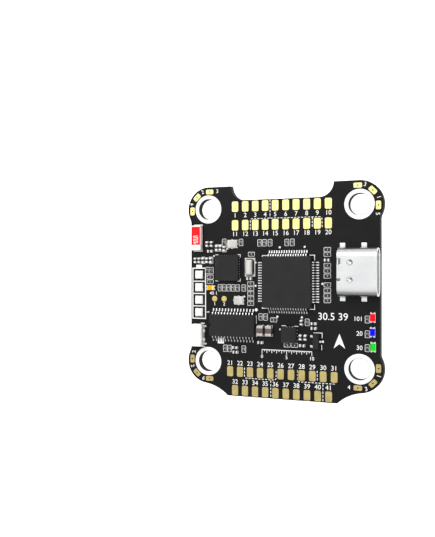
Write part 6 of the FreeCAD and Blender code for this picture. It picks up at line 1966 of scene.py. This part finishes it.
B.box((dlo[0] + 0.55, dlo[1] + 0.26, dlo[2] - 0.01), (dlo[0] + 1.0, dhi[1] - 0.26, dlo[2] + 0.02))
B.tag(1)
B.done(["dark_epoxy", "grey_mark_and_notch_shade"], replaces=("input_diode_body",))
B, S = Build("diode_terminals"), Build("diode_solder")
for lo, hi in boxes("input_diode_terminals"):
    c = centre((lo, hi))
    d = math.copysign(1.0, c[0] - dc[0])
    A = At(dc[0] + d * 2.15, c[1], 0.0, d, 0, -1)
    path = [(-0.1, 0.92), (0.12, 0.92), (0.24, 0.87), (0.3, 0.76), (0.3, 0.3), (0.26, 0.14), (0.14, 0.08), (-0.5, 0.08)]
    sweep(B, A, path, bev_rect(1.4, 0.15, 0.03))
    lump(S, A, 0.1, 0, 0.62, 0.85, 0.1, [(0, 0), (0.03, 0.0), (0.06, 0.03)])
    profile(S, A, [(0.3, 0.02), (0.68, 0.02), (0.52, 0.1), (0.42, 0.24), (0.37, 0.5), (0.3, 0.55)], -0.66, 0.66)
B.done("tin", replaces=("input_diode_terminals",))
S.done("solder")
(blo, bhi), = boxes("air_pressure_sensor_base")
(llo, lhi), = boxes("air_pressure_sensor_lid")
bc_ = centre((blo, bhi))
B = Build("pressure_base")
B.loops([[(x, y, z) for x, y in bitten(bc_[0], bc_[1], 1.0 - k, 1.25 - k, 0.12, 0.0, 0.0)] for z, k in ((-0.02, 0.0), (-0.28, 0.0), (-0.3, 0.02))])
B.done("alumina", replaces=("air_pressure_sensor_base",))
B = Build("pressure_lid")
lev = [(-0.29, 0.06), (-0.36, 0.06), (-0.37, 0.1), (-0.42, 0.12), (-0.86, 0.13), (-0.92, 0.16), (-0.95, 0.22)]
rings = [[B.bm.verts.new(P(x, y, z)) for x, y in rrect(bc_[0], bc_[1], 1.0 - k, 1.25 - k, 0.2, 5)] for z, k in lev]
n = len(rings[0])
for a, b in zip(rings, rings[1:]):
    for i in range(n):
        B.bm.faces.new((a[i], a[(i + 1) % n], b[(i + 1) % n], b[i]))
B.bm.faces.new(rings[0][::-1])
top_dimples(B, rings[-1], [(2.2, 9.2, 0.15, 0.3)], -0.95, -1)
B.done("lid_metal", replaces=("air_pressure_sensor_lid",))
S = Build("pressure_solder")
for i in range(4):
    for d in (1, -1):
        lump(S, At(bc_[0] + d * 1.0, bc_[1] + (i - 1.5) * 0.6, 0.0, d, 0, -1), 0.02, 0, 0.15, 0.16, 0.05,
             [(0, 0), (0.03, 0.0), (0.06, 0.03)])
S.done("solder")

# printed ink on the underside: outlines and figures beside the sockets and pads
U = Build("ink_underside")
U0, U1 = 0.002, -0.014


def uframe(x0, y0, x1, y1, w=0.13):
    U.strip([(x0, y0), (x1, y0), (x1, y1), (x0, y1)], w, U0, U1, closed=True)


for x, y in ((8.9, 7.6), (14.2, 7.6)):
    uframe(x - 2.45, y - 2.25, x + 2.45, y + 2.25)
uframe(11.5 - 3.1, -7.2 - 1.55, 11.5 + 3.1, -7.2 + 1.55)
U.strip([(9.2, -8.75), (9.2, -8.95)], 0.13, U0, U1)
uframe(1.25, 7.05, 3.95, 10.15)
for x in (8.9, 14.2):
    for y in (-1.0, -3.3):
        uframe(x - 1.95, y - 1.02, x + 1.95, y + 1.02)
    U.disc(x - 1.75, 4.55, 0.16, U1, U0, 20)
U.strip([(-5.9, -16.6), (-5.9, -21.0)], 0.13, U0, U1)
U.strip([(5.9, -16.6), (5.9, -21.0)], 0.13, U0, U1)
U.strip([(-4.9, 11.2), (-4.9, 16.4)], 0.13, U0, U1)
U.strip([(4.9, 11.2), (4.9, 16.4)], 0.13, U0, U1)
for sx in (1, -1):
    for sy_ in (1, -1):
        U.ring(sx * HALF, sy_ * HALF, 2.07, 2.82, U1, U0, 96)
U.done("white_ink", smooth=0)


def under_text(name, items):
    """Printed figures read from below: mirrored so that they face down."""
    o = text_mesh(name, [(t, -x, y, h, a) for t, x, y, h, a in items], z0=-0.002, z1=0.014)
    me = o.data
    for v in me.vertices:
        v.co.x, v.co.z = -v.co.x, -v.co.z
    return o


under_text("ink_under_figures", [("%d" % (i + 1), (i - 3.5) * 1.6, -12.2, 0.8, 0) for i in range(8)]
           + [("1", -6.5, -17.6, 0.9, 0), ("8", 6.5, -17.6, 0.9, 0), ("1", 5.5, 13.2, 0.9, 0), ("6", -5.5, 13.2, 0.9, 0),
              ("1", 6.0, 10.4, 0.7, 0), ("2", 17.4, 7.6, 0.8, 0), ("3", 15.3, -7.2, 0.8, 0)])

# =====================================================================
# floor, light, camera
# =====================================================================
def stage_floor():
    bm = bmesh.new()
    s = 3.0
    vs = [bm.verts.new((x * s, y * s, FLOOR - 0.00001)) for x, y in ((-1, -1), (1, -1), (1, 1), (-1, 1))]
    bm.faces.new(vs)
    me = bpy.data.meshes.new("floor")
    bm.to_mesh(me)
    bm.free()
    o = bpy.data.objects.new("floor", me)
    COL.objects.link(o)
    o.data.materials.append(MATS["floor"])


stage_floor()

world = bpy.data.worlds.new("studio")
bpy.context.scene.world = world
world.use_nodes = True
bg = world.node_tree.nodes["Background"]
wt = world.node_tree
wc = wt.nodes.new("ShaderNodeTexCoord")
ws = wt.nodes.new("ShaderNodeSeparateXYZ")
wr = wt.nodes.new("ShaderNodeValToRGB")
wt.links.new(wc.outputs["Generated"], ws.inputs[0])
wm = wt.nodes.new("ShaderNodeMath")
wm.operation = "MULTIPLY_ADD"
wm.inputs[1].default_value = 0.3
wt.links.new(ws.outputs[1], wm.inputs[0])
wt.links.new(ws.outputs[2], wm.inputs[2])
wt.links.new(wm.outputs[0], wr.inputs[0])
wt.links.new(wr.outputs[0], bg.inputs[0])
wr.color_ramp.elements[0].position = 0.0
wr.color_ramp.elements[0].color = (0.74, 0.74, 0.745, 1)
wr.color_ramp.elements[1].position = 0.62
wr.color_ramp.elements[1].color = (1, 1, 1, 1)
bg.inputs[1].default_value = 1.0


def area(name, where, target, size, power, colour=(1, 1, 1), size_y=None):
    l = bpy.data.lights.new(name, "AREA")
    l.energy = power
    l.color = colour
    l.size = size
    if size_y:
        l.shape = "RECTANGLE"
        l.size_y = size_y
    o = bpy.data.objects.new(name, l)
    COL.objects.link(o)
    o.location = where
    d = Vector(target) - Vector(where)
    o.rotation_euler = d.to_track_quat("-Z", "Y").to_euler()
    return o


area("key", (-0.10, 0.16, 0.22), (0, 0, 0), 0.16, 0.32)
area("fill", (0.25, -0.12, 0.2), (0, 0, 0), 0.2, 0.12)

R = Matrix(((0.91958, 0.00012, -0.39289), (-0.00055, -1.0, -0.0016), (-0.39289, 0.00168, -0.91958)))
cam = bpy.data.cameras.new("camera")
cam.sensor_fit = "AUTO"
cam.sensor_width = 36.0
cam.lens = 712.867184 / 537.0 * 36.0
cam.clip_start = 0.005
cam.clip_end = 20.0
co = bpy.data.objects.new("camera", cam)
COL.objects.link(co)
axes = Matrix((R[0], -R[1], -R[2])).transposed().to_4x4()
axes.translation = Vector((0.04285576, 0.00311065, 0.13130735 + T * MM))
co.matrix_world = axes
bpy.context.scene.camera = co
sc = bpy.context.scene
sc.view_settings.view_transform = "Standard"
sc.view_settings.look = "None"
